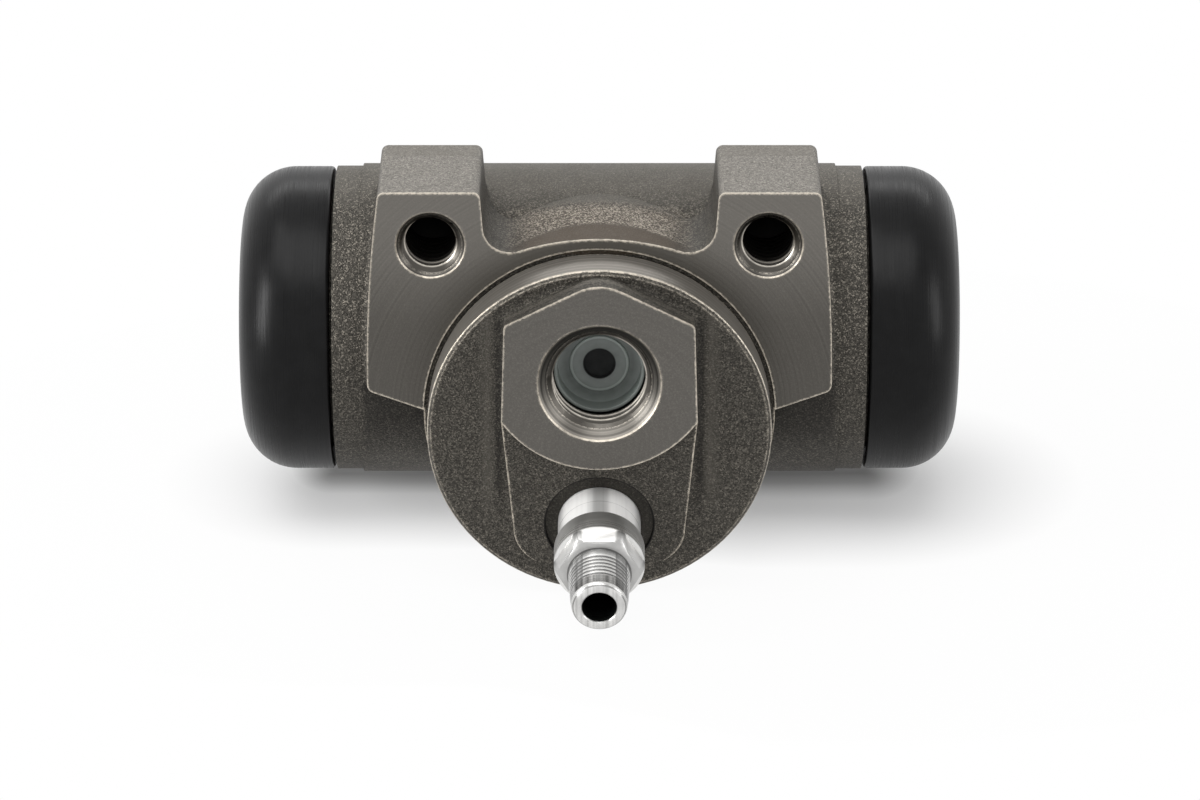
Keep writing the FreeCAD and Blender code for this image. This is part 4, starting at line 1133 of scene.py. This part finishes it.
class WHEELCYL_OT_inside(Operator):
    """Wind the return spring and finish the pistons, seals and expanders"""

    bl_idname = "wheelcyl.inside"
    bl_label = "Pistons and spring"

    def execute(self, context):
        shape = context.scene.wheelcyl_spring
        steel = turned_metal("spring_steel", shape.steel, 0.36, BORE, ALONG_BORE, 3.0)[0]
        alloy = turned_metal("piston_alloy", shape.alloy, 0.3, BORE, ALONG_BORE, 8.0)[0]
        seal = moulded("seal_rubber", shape.rubber, 0.42)
        nodes = frame["nodes"]
        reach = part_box("return_spring")[1].x / MM - shape.wire
        closed = reach - shape.closed_pitch
        for side, sign in SIDES:
            dress(nodes[f"piston_{side}"], alloy)
            dress(nodes[f"cup_seal_{side}"], seal)
            dress(nodes[f"cup_expander_{side}"], steel)
            coil = wind_coil(f"open_turns_{side}", 0, sign * closed, shape.open_turns, shape)
            join_pieces(coil, wind_coil(f"closed_turn_{side}", sign * closed, sign * reach, 1, shape))
            coil.name = f"return_spring_{side}_half"
            set_mode("EDIT")
            select_mesh()
            bpy.ops.mesh.remove_doubles(threshold=MM / 200)
            close_ends()
            shade(coil)
            dress(coil, steel)
            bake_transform(coil)
            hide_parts("return_spring")
        return {"FINISHED"}


def seen_plainly(tree):
    """1 for rays that show a surface, straight or mirrored, and 0 for those that only carry its light."""
    rays = add_node(tree, "LightPath").outputs
    return greatest(rays["Is Camera Ray"], rays["Is Glossy Ray"], rays["Is Transmission Ray"])


def aim(name, data, place, outlook):
    """A camera or lamp at a place, with the direction it looks in."""
    made = bpy.data.objects.new(name, data)
    bpy.context.scene.collection.objects.link(made)
    made.location = place
    made.rotation_euler = outlook.to_track_quat("-Z", "Y").to_euler()
    return made


def soft_light(name, place, target, width, height, energy):
    """A rectangular area light that looks at a target."""
    light = bpy.data.lights.new(name, "AREA")
    light.shape = "RECTANGLE"
    light.size, light.size_y = width, height
    light.energy = energy
    aim(name, light, place, Vector(target) - Vector(place))


def floor_material():
    """White floor that shows as plain white, apart from the soft shadow under the barrel."""
    material, surface, place = new_material("pale_floor")
    tree = surface.id_data
    across, out, _ = split(place)
    half_length, shadow_line, darkest_line = 27.0, 24.0, 27.5
    past_ends = greatest(less(calculate("ABSOLUTE", across), half_length), 0.0)
    leaning = ramp(across, -12.0, 15.0, 1.0, 0.8)
    from_contact = product(distance_from(product(past_ends, 1.6), out, 0.0, darkest_line), leaning)
    from_barrel = product(distance_from(past_ends, out, 0.0, shadow_line), leaning)
    pale = greatest(ramp(from_barrel, 1.0, 18.0, 0.01, 0.95), ramp(from_barrel, 18.0, 50.0, 0.0, 1.0))
    set_inputs(surface, {
        "Base Color": paint((0.06, 0.058, 0.055), (ramp(from_contact, 0.8, 7.5), (0.85, 0.85, 0.85))),
        "Roughness": 0.7,
        "Specular IOR Level": 0.2,
    })
    white = add_node(tree, "Emission", {"Color": (1, 1, 1), "Strength": 1.0}).outputs[0]
    shaders = {0: product(seen_plainly(tree), pale), 1: surface.outputs[0], 2: white}
    mixed = add_node(tree, "MixShader", shaders).outputs[0]
    set_inputs(find_node(tree, "OUTPUT_MATERIAL"), {"Surface": mixed})
    return material


class WHEELCYL_OT_stage(Operator):
    """Set the camera, the pale floor and the soft studio light"""

    bl_idname = "wheelcyl.stage"
    bl_label = "Stage"

    def execute(self, context):
        look = context.scene.wheelcyl_stage
        scene = context.scene
        back = Vector((0, -math.cos(look.elevation), math.sin(look.elevation)))
        camera = bpy.data.cameras.new("camera")
        camera.lens, camera.sensor_width, camera.clip_start = look.lens, 36, 0.01
        scene.camera = aim("camera", camera, Vector(look.target) + back * look.distance, -back)
        scene.view_settings.view_transform = "Standard"

        clear_selection()
        bpy.ops.mesh.primitive_plane_add(size=6, location=(0, 0, CAD_BOX[0].z))
        floor = bpy.context.object
        floor.name = "floor"
        floor.data.materials.append(floor_material())

        world = bpy.data.worlds.new("studio")
        world.use_nodes = True
        scene.world = world
        strength = ramp(seen_plainly(world.node_tree), 0, 1, look.world, 1.0)
        set_inputs(find_node(world.node_tree, "BACKGROUND"), {"Color": (1, 1, 1), "Strength": strength})

        soft_light("top", (-0.2, -0.3, 1.0), (0, 0.02, 0), 1.1, 0.7, look.top)
        soft_light("back", (0, 0.55, 0.45), (0, 0.02, 0.01), 0.9, 0.14, look.back)
        for side, sign in SIDES:
            energy = look.side * (1 - 0.4 * sign)
            soft_light(f"side_{side}", (sign * 0.5, -0.2, 0.12), (0, 0, 0), 0.17, 0.36, energy)
        return {"FINISHED"}


class WHEELCYL_PT_panel(Panel):
    """Lists the steps that dress the wheel cylinder"""

    bl_idname = "WHEELCYL_PT_panel"
    bl_label = "Wheel cylinder"
    bl_space_type = "VIEW_3D"
    bl_region_type = "UI"
    bl_category = "Wheel cylinder"

    def draw(self, context):
        for step in STEPS:
            self.layout.operator(step.bl_idname)


GROUPS = {
    "wheelcyl_casting": CastingLook,
    "wheelcyl_threads": ThreadShape,
    "wheelcyl_boots": BootShape,
    "wheelcyl_screw": ScrewShape,
    "wheelcyl_plug": PlugShape,
    "wheelcyl_spring": SpringShape,
    "wheelcyl_stage": StageLook,
}
STEPS = (
    WHEELCYL_OT_casting,
    WHEELCYL_OT_boots,
    WHEELCYL_OT_bleed_screw,
    WHEELCYL_OT_plug,
    WHEELCYL_OT_inside,
    WHEELCYL_OT_stage,
)


CLASSES = (*GROUPS.values(), *STEPS, WHEELCYL_PT_panel)


def register():
    for made in CLASSES:
        bpy.utils.register_class(made)
    for name, group in GROUPS.items():
        setattr(bpy.types.Scene, name, PointerProperty(type=group))


def unregister():
    for name in GROUPS:
        delattr(bpy.types.Scene, name)
    for made in reversed(CLASSES):
        bpy.utils.unregister_class(made)


def main():
    register()
    bpy.ops.wheelcyl.casting()
    bpy.ops.wheelcyl.boots()
    bpy.ops.wheelcyl.bleed_screw()
    bpy.ops.wheelcyl.plug()
    bpy.ops.wheelcyl.inside()
    bpy.ops.wheelcyl.stage()


if __name__ == "__main__":
    main()
